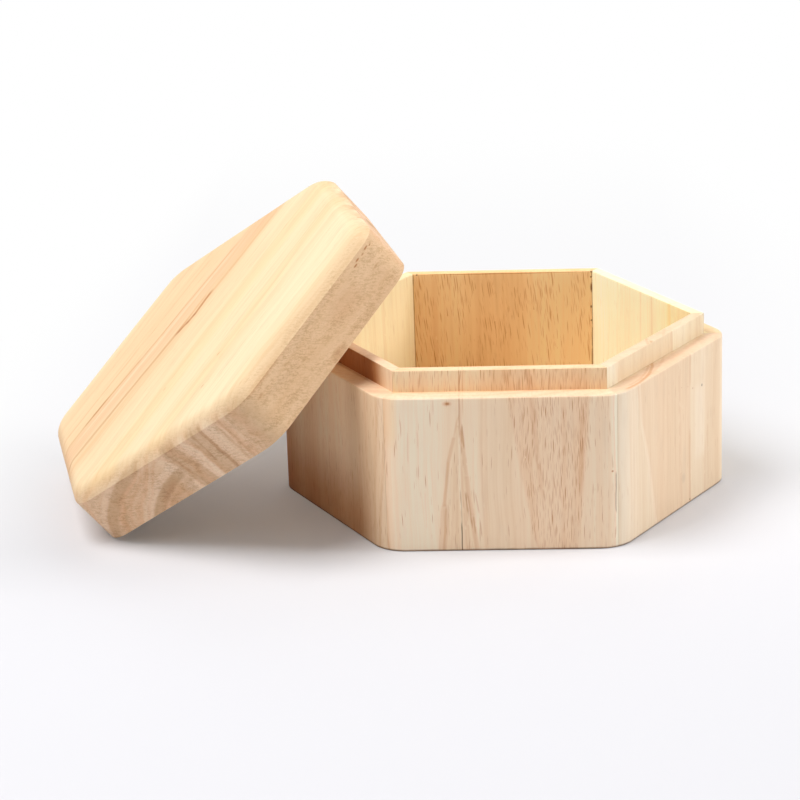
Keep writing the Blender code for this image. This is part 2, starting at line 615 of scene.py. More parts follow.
    def make(
        self, name: str, section: Sequence[SectionPoint], settings: dict[str, object]
    ) -> bpy.types.Object:
        """Sweep one board and turn the result into a plain mesh.

        Args:
            name: name of the piece.
            section: the board's section. It is closed when the ends are filled.
            settings: values of the tree's inputs by name.

        Returns:
            The finished object, at the origin with its place in its mesh.
        """
        outline = bpy.data.meshes.new(name)
        edges = [(index, index + 1) for index in range(len(section) - 1)]
        if settings["Fill Ends"]:
            edges.append((len(section) - 1, 0))
        outline.from_pydata([(p.apothem, p.corner, p.height) for p in section], edges, [])
        piece = bpy.data.objects.new(name, outline)
        bpy.context.scene.collection.objects.link(piece)
        sweep = piece.modifiers.new("sweep", "NODES")
        sweep.node_group = self.graph.tree
        for socket in self.graph.tree.interface.items_tree:
            if socket.name in settings and socket.in_out == "INPUT":
                sweep[socket.identifier] = settings[socket.name]
        graph = bpy.context.evaluated_depsgraph_get()
        mesh = bpy.data.meshes.new_from_object(piece.evaluated_get(graph))
        piece.modifiers.remove(sweep)
        piece.data = mesh
        bpy.data.meshes.remove(outline)
        mesh.name = name
        tidy_mesh(mesh)
        return piece


def tidy_mesh(mesh: bpy.types.Mesh) -> None:
    """Point the faces outward and keep true arrises crisp.

    Args:
        mesh: a closed mesh.
    """
    weld = 0.001 * MM
    crisp = math.radians(20)
    shape = bmesh.new()
    shape.from_mesh(mesh)
    bmesh.ops.remove_doubles(shape, verts=shape.verts, dist=weld)
    bmesh.ops.recalc_face_normals(shape, faces=shape.faces)
    shape.to_mesh(mesh)
    shape.free()
    for name in [a.name for a in mesh.attributes if a.name not in ("position", "sharp_face")]:
        attribute = mesh.attributes[name]
        if not attribute.is_internal and not attribute.is_required:
            mesh.attributes.remove(attribute)
    mesh.shade_smooth()
    mesh.set_sharp_from_angle(angle=crisp)


def linear(red: float, green: float, blue: float) -> Colour:
    """Linear colour of an sRGB colour, which comes in numbers from 0 to 255."""
    shares = [value / 255 for value in (red, green, blue)]
    return tuple(v / 12.92 if v <= 0.04045 else ((v + 0.055) / 1.055) ** 2.4 for v in shares)


class Tint(Enum):
    """What a mark multiplies the timber's colour by, in linear red, green and blue."""

    CREAM = (1.05, 1.10, 1.17)
    HONEY = (1.00, 0.93, 0.80)
    TAN = (0.92, 0.86, 0.79)
    PINK = (0.95, 0.84, 0.76)
    ROSE = (0.94, 0.80, 0.78)
    GREY = (0.86, 0.85, 0.86)
    RUST = (0.84, 0.68, 0.56)
    SMOKE = (0.80, 0.74, 0.67)
    BROWN = (0.66, 0.44, 0.30)
    CRACK = (0.22, 0.15, 0.10)


class Layer(Enum):
    """How deep below a board's face a mark lies."""

    THROUGH = "all through the board"
    FACE = "on the outer face and its shoulder"
    LIP = "on the outer face of a wall's lip"
    INSIDE = "on a wall's inner face"


@dataclass(frozen=True)
class Streak:
    """A line or band of a board's figure that runs roughly with the grain, in millimetres; a few stand in
    as painted shade.

    Attributes:
        across: place of its middle at its low end, measured across the board.
        low: its low end, measured along the grain.
        high: its high end.
        tint: what it does to the colour.
        strength: how much of the tint shows.
        slope: sideways run for each millimetre of grain.
        half: half its width at the low end.
        taper: growth of that half width for each millimetre of grain.
        soft: width of its soft edge.
        fade: length over which its ends fade out.
        broken: share of its length that is missing, as in a row of dashes.
        porous: how many more vessels it has than the wood around it.
        layer: how deep it lies.
    """

    across: float
    low: float
    high: float
    tint: Tint
    strength: float = 1.0
    slope: float = 0.0
    half: float = 0.15
    taper: float = 0.0
    soft: float = 0.3
    fade: float = 2.0
    broken: float = 0.0
    porous: float = 0.0
    layer: Layer = Layer.THROUGH


@dataclass(frozen=True)
class Spot:
    """A knot, dot or smudge on a board, in millimetres.

    Attributes:
        across: place across the board.
        along: place along the grain.
        tint: what it does to the colour.
        strength: how much of the tint shows.
        radius: half its width.
        stretch: how many times longer than wide it is.
        layer: how deep it lies.
    """

    across: float
    along: float
    tint: Tint
    strength: float = 0.8
    radius: float = 0.3
    stretch: float = 1.0
    layer: Layer = Layer.FACE


@dataclass(frozen=True)
class EndArc:
    """An arc of a growth ring on a board's sawn end, in millimetres.

    Attributes:
        across: place of the ring's heart across the board.
        height: height of the heart above the board's underside.
        radius: radius of the ring.
        first: where the arc starts across the board.
        last: where it ends.
        tint: what it does to the colour.
        strength: how much of the tint shows.
        half: half its width.
        soft: width of its soft edge.
    """

    across: float
    height: float
    radius: float
    first: float
    last: float
    tint: Tint
    strength: float
    half: float
    soft: float


@dataclass(frozen=True)
class Pores:
    """The short brown dashes of the timber's vessels, in millimetres.

    Attributes:
        cell: width of the space that one vessel has.
        length: length of that space.
        radius: size of a vessel, as a share of its space.
        density: share of the spaces that hold a vessel.
        patchy: how far the density varies from place to place.
        strength: how dark the vessels are.
        lean: sideways run for each millimetre of grain.
    """

    cell: float = 0.75
    length: float = 9.0
    radius: float = 0.26
    density: float = 0.12
    patchy: float = 0.6
    strength: float = 0.6
    lean: float = 0.0


@dataclass(frozen=True)
class Rings:
    """Growth rings, which run round a heart that may lie outside the board, in millimetres.

    Attributes:
        heart_across: place of the heart across the board.
        heart_depth: depth of the heart below the board's face.
        spacing: distance from one ring to the next.
        strength: how far the rings darken the timber.
        squash: how much less depth counts than width, beyond the heart.
        waviness: how far the rings stray.
    """

    heart_across: float = -20.0
    heart_depth: float = 60.0
    spacing: float = 3.0
    strength: float = 0.5
    squash: float = 1.0
    waviness: float = 1.2


@dataclass(frozen=True)
class BoardPlace:
    """Where a board's own axes lie: across, into its depth and along its grain.

    Attributes:
        origin: origin of the board's axes.
        turn: Euler angles of those axes.
        face: distance of the board's face from the origin, along its outward axis.
        thickness: thickness of the board.
        upright: whether the grain runs up, as in a wall, or along the first axis, as in the lid.
    """

    origin: tuple[float, float, float]
    turn: tuple[float, float, float]
    face: float
    thickness: float
    upright: bool


@dataclass(frozen=True)
class Timber:
    """The look of one board of pale, unvarnished, sanded rubberwood.

    Attributes:
        name: name of the material.
        colour: colour of the clear wood, in sRGB from 0 to 255.
        place: where the board's own axes lie.
        seed: which piece of the patterns the board is cut from.
        rings: how its growth rings run.
        pores: its vessels.
        streaks: the board's own streaks, and any bands of painted shade.
        spots: its knots and dots.
        end_colour: what end grain multiplies the colour by.
        flank_colour: what the board's sawn sides multiply it by.
        side_spots: marks on the long-grain side that looks across the board, where `across` is
            their height above the underside.
        end_streaks: bands on its sawn ends, which cross its thickness instead of following the grain.
        end_arcs: arcs on its sawn ends.
        rough: how mottled its sawn sides are.
        inner_vessels: how many more vessels lie open below its face, as on a wall's lip.
        inner_colour: what the wood below its face multiplies the colour by.
        broad: strength of its broad bands.
        fibre: strength of its fine fibres.
    """

    name: str
    colour: tuple[float, float, float]
    place: BoardPlace
    seed: float
    rings: Rings = Rings()
    pores: Pores = Pores()
    streaks: tuple[Streak, ...] = ()
    spots: tuple[Spot, ...] = ()
    end_colour: Colour = (1.00, 0.95, 0.91)
    flank_colour: Colour = WHITE
    side_spots: tuple[Spot, ...] = ()
    end_streaks: tuple[Streak, ...] = ()
    end_arcs: tuple[EndArc, ...] = ()
    rough: float = 0.0
    inner_vessels: float = 0.0
    inner_colour: Colour = WHITE
    broad: float = 0.5
    fibre: float = 0.5


@dataclass(frozen=True)
class Noise:
    """A noise that the wood's figure is made from.

    Attributes:
        across: its lumps for each millimetre across the board.
        depth: its lumps for each millimetre of depth.
        along: its lumps for each millimetre along the grain.
        seeded: number of the axis along which the board's seed shifts it.
        detail: how many finer layers it has.
        roughness: how strong the finer layers are.
        shows: values between which its mark goes from none to full, where it makes one.
    """

    across: float
    depth: float
    along: float
    seeded: int
    detail: float = 1.0
    roughness: float = 0.5
    shows: tuple[float, float] = (0.0, 1.0)


# The noises of rubberwood
SWAY = Noise(0.03, 0.05, 0.022, seeded=0)
RIPPLE = Noise(0.25, 0.3, 0.12, seeded=1)
GAPS = Noise(0.7, 0.0, 0.3, seeded=1)
FINE = Noise(1.5, 0.6, 0.045, seeded=0, detail=4.0, roughness=0.7, shows=(0.45, 0.8))
MEDIUM = Noise(0.9, 0.4, 0.02, seeded=1, detail=2.0, shows=(0.4, 0.75))
BROAD = Noise(0.11, 0.12, 0.006, seeded=0, shows=(0.35, 0.7))
MOTTLE = Noise(0.25, 0.25, 0.06, seeded=2, detail=3.0, shows=(0.5, 0.8))
RING_WAVES = Noise(0.08, 0.12, 0.03, seeded=2, detail=2.0)
VESSEL_PATCHES = Noise(0.16, 0.1, 0.05, seeded=2, shows=(0.35, 0.65))
SPECKLES = Noise(2.2, 2.2, 1.7, seeded=2, detail=4.0, roughness=0.8, shows=(0.46, 0.7))
TORN_FIBRES = Noise(1.5, 0.4, 0.5, seeded=1, detail=2.0, roughness=0.7, shows=(0.46, 0.62))


class MaterialGraph(Graph):
    """A material's nodes, with the few tools that timber needs."""

    MIX_SOCKETS = ("Factor_Float", "A_Color", "B_Color")

    def smooth(self, value: Operand, low: Operand, high: Operand) -> Wire:
        """A soft step from 0 to 1 between two values."""
        return self.use("ShaderNodeMapRange", (value, low, high), interpolation_type="SMOOTHSTEP")

    def seen(self) -> Wire:
        """Whether the surface is looked at.

        Returns:
            1 to the camera and in reflections, and 0 where the surface only sends light on.
        """
        path = self.node("ShaderNodeLightPath")
        rays = [Wire(self, path.outputs[f"Is {kind} Ray"]) for kind in ("Camera", "Glossy", "Transmission")]
        return self.math("MAXIMUM", rays[0], self.math("MAXIMUM", rays[1], rays[2]))

    def noise(self, vector: Wire, detail: float, roughness: float) -> Wire:
        """Noise around one half, whose lumps are about one unit wide."""
        inputs = {"Vector": vector, "Scale": 1.0, "Detail": detail, "Roughness": roughness}
        return self.use("ShaderNodeTexNoise", inputs)

    def tinted(self, colour: Wire, tint: Colour, share: Operand) -> Wire:
        """Multiply a colour by a tint.

        Args:
            colour: the colour.
            tint: the tint.
            share: how much of the tint shows.

        Returns:
            The tinted colour.
        """
        mix = self.node("ShaderNodeMix", data_type="RGBA", blend_type="MULTIPLY")
        sockets = (socket for socket in mix.inputs if socket.identifier in self.MIX_SOCKETS)
        for socket, value in zip(sockets, (share, colour, tint)):
            self.feed(socket, value)
        return Wire(self, next(socket for socket in mix.outputs if socket.type == "RGBA"))


class GroupGraph(MaterialGraph):
    """A shader node group with number inputs and one result."""

    def __init__(self, name: str, inputs: Sequence[str]) -> None:
        """Make the group with its inputs.

        Args:
            name: name of the group.
            inputs: names of its inputs.
        """
        super().__init__(bpy.data.node_groups.new(name, "ShaderNodeTree"))
        for label in inputs:
            self.tree.interface.new_socket(label, in_out="INPUT", socket_type="NodeSocketFloat")
        self.tree.interface.new_socket("Result", in_out="OUTPUT", socket_type="NodeSocketFloat")
        entry = self.node("NodeGroupInput")
        self.values = [Wire(self, entry.outputs[label]) for label in inputs]

    def give(self, value: Wire) -> None:
        """Send the result out."""
        self.fill(self.node("NodeGroupOutput"), (value,))

    def used_in(self, graph: MaterialGraph, values: Sequence[Operand]) -> Wire:
        """The group's result in a material, for values in the order of its inputs."""
        return graph.use("ShaderNodeGroup", values, node_tree=self.tree)


class StreakGroup(GroupGraph):
    """Says where one streak lies: a straight band with soft edges, soft ends and gaps."""

    INPUTS = ("Across", "Along", "Gaps", "Start", "Low", "High", "Slope", "Half", "Taper", "Soft",
              "Fade", "Broken")
    # How far the gaps' noise stands above half the missing share where a streak begins to show, and
    # where it shows fully
    GAP_EDGE = (0.12, 0.24)

    def __init__(self) -> None:
        """Write the group."""
        super().__init__("streak", self.INPUTS)
        across, along, gaps, start, low, high, slope, half, taper, soft, fade, broken = self.values
        rise = along - low
        away = self.math("ABSOLUTE", across - (start + rise * slope))
        edge = self.math("MAXIMUM", half + rise * taper, 0.0)
        inside = 1.0 - self.smooth(away, edge, edge + soft)
        begun = self.smooth(along, low - fade * 0.5, low + fade * 0.5)
        over = self.smooth(along, high - fade * 0.5, high + fade * 0.5)
        kept = self.smooth(gaps, *(broken * 0.5 + above for above in self.GAP_EDGE))
        self.give(inside * begun * (1.0 - over) * kept)


class VesselGroup(GroupGraph):
    """Says where vessels are cut open: long thin dashes scattered over the board."""

    INPUTS = ("Across", "Depth", "Along", "Cell", "Length", "Radius", "Density", "Lean", "Seed")
    # Sideways run for each millimetre of depth
    DEPTH_LEAN = 0.3
    # Least size and darkness of a vessel, and how much the lots add to each
    LEAST_SIZE = 0.65
    MORE_SIZE = 0.55
    LEAST_DARKNESS = 0.5
    MORE_DARKNESS = 0.6
    # Share of its reach at which a vessel begins to fade
    CORE = 0.4

    def __init__(self) -> None:
        """Write the group. Each space draws lots for its vessel, how dark it is and its size."""
        super().__init__("vessels", self.INPUTS)
        across, depth, along, cell, length, radius, density, lean, seed = self.values
        sideways = (across - lean * along + depth * self.DEPTH_LEAN) / cell
        scattered = self.node("ShaderNodeTexVoronoi", voronoi_dimensions="2D")
        place = self.vector(sideways + seed, along / length, 0.0)
        self.fill(scattered, {"Vector": place, "Scale": 1.0})
        lot, darkness, size = self.parts(Wire(self, scattered.outputs["Color"]))
        reach = radius * (size * self.MORE_SIZE + self.LEAST_SIZE)
        inside = 1.0 - self.smooth(Wire(self, scattered.outputs["Distance"]), reach * self.CORE, reach)
        shade = darkness * self.MORE_DARKNESS + self.LEAST_DARKNESS
        self.give(inside * self.math("LESS_THAN", lot, density) * shade)


class Board:
    """A board inside its material, where lengths are in millimetres of its own axes.

    Attributes:
        graph: the material's nodes.
        timber: the board's look.
        streak: the group that says where a streak lies.
        vessel: the group that says where vessels are cut open.
        across: place across the board.
        depth: depth below its face.
        along: place along its grain.
        height: height above its underside.
        end: how far the surface is end grain.
        faced: how squarely the surface looks the way the board's face does.
        flank: how far the surface is a sawn side or end.
        side: how much of a streak shows, which is less on end grain.
        inner: how far a place lies deeper than a wall's shoulder reaches in.
        layers: how far a place belongs to each layer.
        ripple: noise by which the grain ripples sideways.
        strayed: place across the board as its fibres see it.
        wavering: place across the board as its streaks see it.
        gaps: noise that breaks streaks into dashes.
        fine: noise of its fibres.
        medium: noise of its bundles of fibres.
        broad: noise of its broad bands.
        mottle: noise of its clouded places.
        colour: its colour so far.
        cracks: where its surface is open.
    """

    # How far the grain sways and ripples sideways, on the faces and on a sawn end
    FIBRE_SWAY = 3.0
    STREAK_SWAY = 1.4
    RIPPLING = 0.5
    END_RIPPLING = 0.8
    ARC_RIPPLING = 1.5
    # Steps in which a rounded edge turns from sawn side to face: how squarely the surface looks the
    # face's way where the step starts and ends, and how much of the turn it is
    EDGE_STEPS = ((0.28, 0.42, 0.45), (0.65, 1.0, 0.55))
    # How squarely it looks the face's way where the rings begin to show and where they show fully, and
    # the same where the rounding of the lid's upper edge starts and where it ends
    RINGED_FACE = (0.7, 0.98)
    CROWN_START = (0.35, 0.5)
    CROWN_END = (0.88, 0.99)
    # How squarely it looks along the grain where end grain begins to show and where it shows fully
    END_GRAIN = (0.45, 0.85)
    # Depths between which a wall's shoulder gives way to its lip, and its lip to its inner face
    LIP_DEPTH = (5.0, 6.0)
    INSIDE_DEPTH = (8.0, 9.4)
    # Heights between which the painted contact shade at a wall's foot fades out, and how far its edge
    # wavers
    FOOT_HEIGHT = (0.2, 0.9)
    FOOT_WAVER = 0.3
    # Growth rings: values between which their dark part shows, how fine their layers are, how far they
    # stray, and the distance on both sides of the heart over which their squashing sets in
    RINGS_SHOW = (0.42, 0.68)
    RING_DETAIL = 2.0
    RING_STRAY = 4.0
    HEART_SIDE = 8.0
    # Length over which an arc's ends fade, and shares of a spot's radius where it begins to fade and ends
    ARC_FADE = 3.0
    SPOT_EDGE = (0.4, 1.3)
    # How strongly parts of the figure show
    END_HIDES_STREAKS = 0.75
    RINGS_ON_END = 1.8
    MOTTLING = 0.35
    # Darkness of the painted contact shade along a wall's foot
    FOOT_PAINTED_SHADE = 0.85
    CROWN_TOAST = 0.4
    TEARING = 0.7
    # Where the sawn sides are more mottled, and the share of the mottling that is left elsewhere
    ROUGH_PATCHES = (0.38, 0.58)
    LEAST_ROUGH = 0.4
    # Scale and strength of the long vessels and of the short ones
    VESSEL_KINDS = ((1.0, 1.0), (0.62, 0.65))
    # The surface of sanded, unvarnished wood, which is never paler than a given share of white
    PALEST = 0.96
    SPECULAR = 0.2
    ROUGHNESS = 0.5
    FIBRES_ROUGHEN = 0.2
    VESSELS_ROUGHEN = 0.15
    # The relief, and the share of its depth that each part of the figure raises or sinks
    RELIEF_STRENGTH = 0.6
    RELIEF_DEPTH = 0.05 * MM
    FINE_RAISES = 0.6
    MEDIUM_RAISES = 0.3
    VESSELS_SINK = 0.7
    CRACKS_SINK = 1.5

    def __init__(
        self, graph: MaterialGraph, timber: Timber, streak: StreakGroup, vessel: VesselGroup
    ) -> None:
        """Find the board's axes, and the noises that most of its figure is made from.

        Args:
            graph: the material's nodes.
            timber: the board's look.
            streak: the group that says where a streak lies.
            vessel: the group that says where vessels are cut open.
        """
        self.graph = graph
        self.timber = timber
        self.streak = streak
        self.vessel = vessel
        self.across, self.depth, self.along, self.end, self.faced = self._axes()
        self.height = timber.place.thickness / MM - self.depth
        self.flank = 1.0
        for low, high, share in self.EDGE_STEPS:
            self.flank = self.flank - graph.smooth(self.faced, low, high) * share
        self.side = 1.0 - self.end * self.END_HIDES_STREAKS
        self.inner = graph.smooth(self.depth, *self.LIP_DEPTH)
        inside = graph.smooth(self.depth, *self.INSIDE_DEPTH)
        self.layers = {
            Layer.THROUGH: 1.0,
            Layer.FACE: 1.0 - self.inner,
            Layer.LIP: self.inner - inside,
            Layer.INSIDE: inside,
        }

        straight = (self.across, self.depth, self.along)
        sway = self.noise(SWAY, straight) - 0.5
        self.ripple = self.noise(RIPPLE, straight) - 0.5
        self.strayed = self.across + sway * self.FIBRE_SWAY + self.ripple * self.RIPPLING
        self.wavering = self.across + sway * self.STREAK_SWAY + self.ripple * self.RIPPLING
        self.gaps = self.noise(GAPS, straight)
        stray = (self.strayed, self.depth, self.along)
        self.fine = self.noise(FINE, stray)
        self.medium = self.noise(MEDIUM, stray)
        self.broad = self.noise(BROAD, stray)
        self.mottle = self.noise(MOTTLE, straight)
        clear = graph.node("ShaderNodeRGB")
        clear.outputs[0].default_value = (*linear(*timber.colour), 1.0)
        self.colour = Wire(graph, clear.outputs[0])
        self.cracks = graph.math("ADD", 0.0, 0.0)

    def _axes(self) -> tuple[Wire, ...]:
        """The board's own axes.

        Returns:
            The places across, below the face and along the grain, how far the surface is end
            grain, and how squarely it looks the way the board's face does.
        """
        graph, place = self.graph, self.timber.place
        coordinates = graph.node("ShaderNodeTexCoord")
        local = {
            "Vector": Wire(graph, coordinates.outputs["Object"]),
            "Location": place.origin,
            "Rotation": place.turn,
            "Scale": (MM, MM, MM),
        }
        first, second, third = graph.parts(graph.use("ShaderNodeMapping", local, vector_type="TEXTURE"))
        normal = Wire(graph, coordinates.outputs["Normal"])
        axes = Euler(place.turn).to_matrix()
        grain, outward = (axes.col[2], axes.col[0]) if place.upright else (axes.col[0], axes.col[2])
        end = graph.smooth(self._facing(normal, grain), *self.END_GRAIN)
        faced = self._facing(normal, outward)
        if place.upright:
            return second, place.face / MM - first, third, end, faced
        return second, place.face / MM - third, first, end, faced

    def _facing(self, normal: Wire, axis: Vector) -> Wire:
        """How squarely the surface faces either way along an axis.

        Args:
            normal: where the surface looks.
            axis: the axis.

        Returns:
            1 where the surface is square to the axis, and 0 where it runs along it.
        """
        product = self.graph.node("ShaderNodeVectorMath", operation="DOT_PRODUCT")
        self.graph.fill(product, (normal, tuple(axis)))
        return self.graph.math("ABSOLUTE", Wire(self.graph, product.outputs["Value"]))

    def noise(self, kind: Noise, places: Sequence[Wire]) -> Wire:
        """One of the wood's noises.

        Args:
            kind: the noise.
            places: where it is read across, in depth and along.

        Returns:
            Values around one half.
        """
        scaled = [place * scale for place, scale in zip(places, (kind.across, kind.depth, kind.along))]
        scaled[kind.seeded] = scaled[kind.seeded] + self.timber.seed
        return self.graph.noise(self.graph.vector(*scaled), kind.detail, kind.roughness)

    def tint(self, tint: Union[Tint, Colour], share: Operand) -> None:
        """Multiply the board's colour by a tint, as far as the share says."""
        colour = tint.value if isinstance(tint, Tint) else tint
        self.colour = self.graph.tinted(self.colour, colour, share)

    def crack(self, mask: Wire) -> None:
        """Open the surface where a mask says."""
        self.cracks = self.graph.math("MAXIMUM", self.cracks, mask)

    def finish(self) -> None:
        """Dress the board, from its clear wood and its marks to its sheen and relief."""
        timber = self.timber
        self._grain()
        density = self._streaks()
        self._sawn_ends()
        self._spots()
        vessels = self._vessels(density) * (1.0 - self.end)
        self.tint(Tint.BROWN, vessels * timber.pores.strength)
        self.tint(timber.end_colour, self.end * self.flank)
        self.tint(timber.flank_colour, self.flank)
        if timber.rough:
            self._torn_fibres()
        self._surface(vessels)

    def _grain(self) -> None:
        """Colour the clear wood: bands, rings, fibres, the wood below the face, and painted shade at the
        foot.
        """
        graph, timber = self.graph, self.timber
        self.tint(Tint.TAN, graph.smooth(self.broad, *BROAD.shows) * timber.broad)
        on_face = graph.smooth(self.faced, *self.RINGED_FACE)
        shown = graph.math("MAXIMUM", self.end * self.RINGS_ON_END, on_face)
        self.tint(Tint.PINK, graph.clamp(self._rings() * shown * timber.rings.strength))
        self.tint(Tint.TAN, graph.smooth(self.medium, *MEDIUM.shows) * timber.fibre)
        self.tint(Tint.TAN, graph.smooth(self.fine, *FINE.shows) * timber.fibre)
        self.tint(Tint.GREY, graph.smooth(self.mottle, *MOTTLE.shows) * self.MOTTLING)
        self.tint(timber.inner_colour, self.inner)
        if timber.place.upright:
            # Painted contact shade: an upright board darkens towards its foot, where it stands on the floor
            foot = 1.0 - graph.smooth(self.along + self.ripple * self.FOOT_WAVER, *self.FOOT_HEIGHT)
            self.tint(Tint.CRACK, foot * self.FOOT_PAINTED_SHADE)

    def _rings(self) -> Wire:
        """The dark part of the growth rings, which run round the heart.

        Returns:
            0 between the dark parts and 1 in them.
        """
        graph, rings = self.graph, self.timber.rings
        wave = self.noise(RING_WAVES, (self.strayed, self.depth, self.along)) - 0.5
        sideways = self.strayed - rings.heart_across
        beyond = graph.smooth(sideways, -self.HEART_SIDE, self.HEART_SIDE)
        squash = 1.0 - beyond * (1.0 - rings.squash)
        reach = graph.length(sideways, (rings.heart_depth - self.depth) * squash)
        reach = reach + wave * (rings.waviness * self.RING_STRAY)
        turns = reach / rings.spacing + self.timber.seed
        bands = {"W": turns, "Scale": 1.0, "Detail": self.RING_DETAIL}
        bands = graph.use("ShaderNodeTexNoise", bands, noise_dimensions="1D")
        return graph.smooth(bands, *self.RINGS_SHOW)

    def _streaks(self) -> Wire:
        """Draw the board's own streaks.

        Returns:
            The share of the spaces that hold a vessel, with what porous streaks add.
        """
        timber, pores = self.timber, self.timber.pores
        patch = self.noise(VESSEL_PATCHES, (self.across, self.depth, self.along))
        gathered = self.graph.smooth(patch, *VESSEL_PATCHES.shows)
        share = gathered * (2.0 * pores.patchy) + (1.0 - pores.patchy)
        density = share * pores.density + self.inner * timber.inner_vessels
        for streak in timber.streaks:
            mask = self._streak_mask(streak, self.wavering, self.along) * self.layers[streak.layer]
            if streak.porous:
                density = density + mask * streak.porous
            mask = mask * self.side * streak.strength
            self.tint(streak.tint, mask)
            if streak.tint is Tint.CRACK:
                self.crack(mask)
        return density

    def _streak_mask(self, streak: Streak, across: Wire, along: Wire) -> Wire:
        """Where a streak lies.

        Args:
            streak: the streak.
            across: place across the board.
            along: place along the streak.

        Returns:
            1 in the streak and 0 outside.
        """
        line = (streak.across, streak.low, streak.high, streak.slope)
        edges = (streak.half, streak.taper, streak.soft, streak.fade, streak.broken)
        return self.streak.used_in(self.graph, (across, along, self.gaps, *line, *edges))

    def _sawn_ends(self) -> None:
        """Draw the bands and arcs of the sawn ends."""
        for streak in self.timber.end_streaks:
            across = self.across + self.ripple * self.END_RIPPLING
            mask = self._streak_mask(streak, across, self.height)
            self.tint(streak.tint, mask * self.end * streak.strength)
        for arc in self.timber.end_arcs:
            self.tint(arc.tint, self._arc(arc) * self.end)

    def _arc(self, arc: EndArc) -> Wire:
        """Where an arc lies on a sawn end.

        Args:
            arc: the arc.

        Returns:
            Its strength in the arc, and 0 outside.
        """
        graph, fade = self.graph, self.ARC_FADE / 2
        across = self.across + self.ripple * self.ARC_RIPPLING
        away = graph.length(across - arc.across, self.height - arc.height) - arc.radius
        inside = 1.0 - graph.smooth(graph.math("ABSOLUTE", away), arc.half, arc.half + arc.soft)
        begun = graph.smooth(across, arc.first - fade, arc.first + fade)
        over = graph.smooth(across, arc.last - fade, arc.last + fade)
        return inside * begun * (1.0 - over) * arc.strength

    def _spots(self) -> None:
        """Draw the marks on the sawn side and the knots and dots on the face."""
        for spot in self.timber.side_spots:
            mask = self._spot(spot, self.height) * (1.0 - self.end)
            mask = mask * self.flank * self.graph.math("GREATER_THAN", self.across, 0.0)
            self.tint(spot.tint, mask)
            self.crack(mask)
        for spot in self.timber.spots:
            mask = self._spot(spot, self.across) * self.side
            self.tint(spot.tint, mask * self.layers[spot.layer])

    def _spot(self, spot: Spot, across: Wire) -> Wire:
        """Where a spot lies.

        Args:
            spot: the spot.
            across: place across the face or side that it is on.

        Returns:
            Its strength near its middle, and 0 outside.
        """
        away = self.graph.length(across - spot.across, (self.along - spot.along) / spot.stretch)
        edge = (spot.radius * share for share in self.SPOT_EDGE)
        return (1.0 - self.graph.smooth(away, *edge)) * spot.strength

    def _vessels(self, density: Wire) -> Wire:
        """The dashes of the vessels, in a longer and a shorter kind.

        Args:
            density: share of the spaces that hold a vessel.

        Returns:
            1 in a dash and 0 outside.
        """
        pores, place = self.timber.pores, (self.strayed, self.depth, self.along)
        kinds = []
        for number, (scale, strength) in enumerate(self.VESSEL_KINDS):
            size = (pores.cell * scale, pores.length * scale, pores.radius)
            values = (*place, *size, density, pores.lean, self.timber.seed + number)
            kinds.append(self.vessel.used_in(self.graph, values) * strength)
        return self.graph.math("MAXIMUM", *kinds)

    def _torn_fibres(self) -> None:
        """Mottle the sawn sides, where the saw tore the fibres, and toast the rounded edge a little."""
        graph, across, depth, along = self.graph, self.across, self.depth, self.along
        crown = graph.smooth(self.faced, *self.CROWN_START) - graph.smooth(self.faced, *self.CROWN_END)
        self.tint(Tint.TAN, crown * self.CROWN_TOAST)
        speckles = graph.smooth(self.noise(SPECKLES, (across, depth, along)), *SPECKLES.shows)
        torn = self.noise(TORN_FIBRES, (along + depth, along - depth, across))
        torn = graph.smooth(torn, *TORN_FIBRES.shows)
        patch = graph.smooth(self.mottle, *self.ROUGH_PATCHES) * (1.0 - self.LEAST_ROUGH) + self.LEAST_ROUGH
        marks = (speckles + torn * self.TEARING) * self.flank * patch * self.timber.rough
        self.tint(Tint.SMOKE, graph.clamp(marks))
        self.fine = self.fine + marks

    def _surface(self, vessels: Wire) -> None:
        """Finish the material with the board's colour, sheen and relief.

        Args:
            vessels: where vessels are cut open.
        """
        graph = self.graph
        limit = (self.PALEST, self.PALEST, self.PALEST)
        raised = self.fine * self.FINE_RAISES + self.medium * self.MEDIUM_RAISES
        height = raised - vessels * self.VESSELS_SINK - self.cracks * self.CRACKS_SINK
        roughness = self.fine * self.FIBRES_ROUGHEN + vessels * self.VESSELS_ROUGHEN + self.ROUGHNESS
        relief = {"Strength": self.RELIEF_STRENGTH, "Distance": self.RELIEF_DEPTH, "Height": height}
        finish = {
            "Base Color": graph.use("ShaderNodeVectorMath", (self.colour, limit), operation="MINIMUM"),
            "Roughness": roughness,
            "Specular IOR Level": self.SPECULAR,
            "Normal": graph.use("ShaderNodeBump", relief),
        }
        graph.fill(graph.tree.nodes["Principled BSDF"], finish)


class TimberShop:
    """Makes the boards' materials, which share the groups that draw streaks and vessels."""

    def __init__(self) -> None:
        """Build the shared groups."""
        self.streak = StreakGroup()
        self.vessel = VesselGroup()

    def material(self, timber: Timber) -> bpy.types.Material:
        """Make one board's material.

        Args:
            timber: the board's look.

        Returns:
            The material.
        """
        made = bpy.data.materials.new(timber.name)
        made.use_nodes = True
        Board(MaterialGraph(made.node_tree), timber, self.streak, self.vessel).finish()
        return made


# Low and high end of a streak that runs up a whole wall, along the whole lid, or through its edge
UP_WALL = (-5.0, 62.0)
ALONG_LID = (-90.0, 90.0)
THROUGH_LID = (-2.0, 19.0)

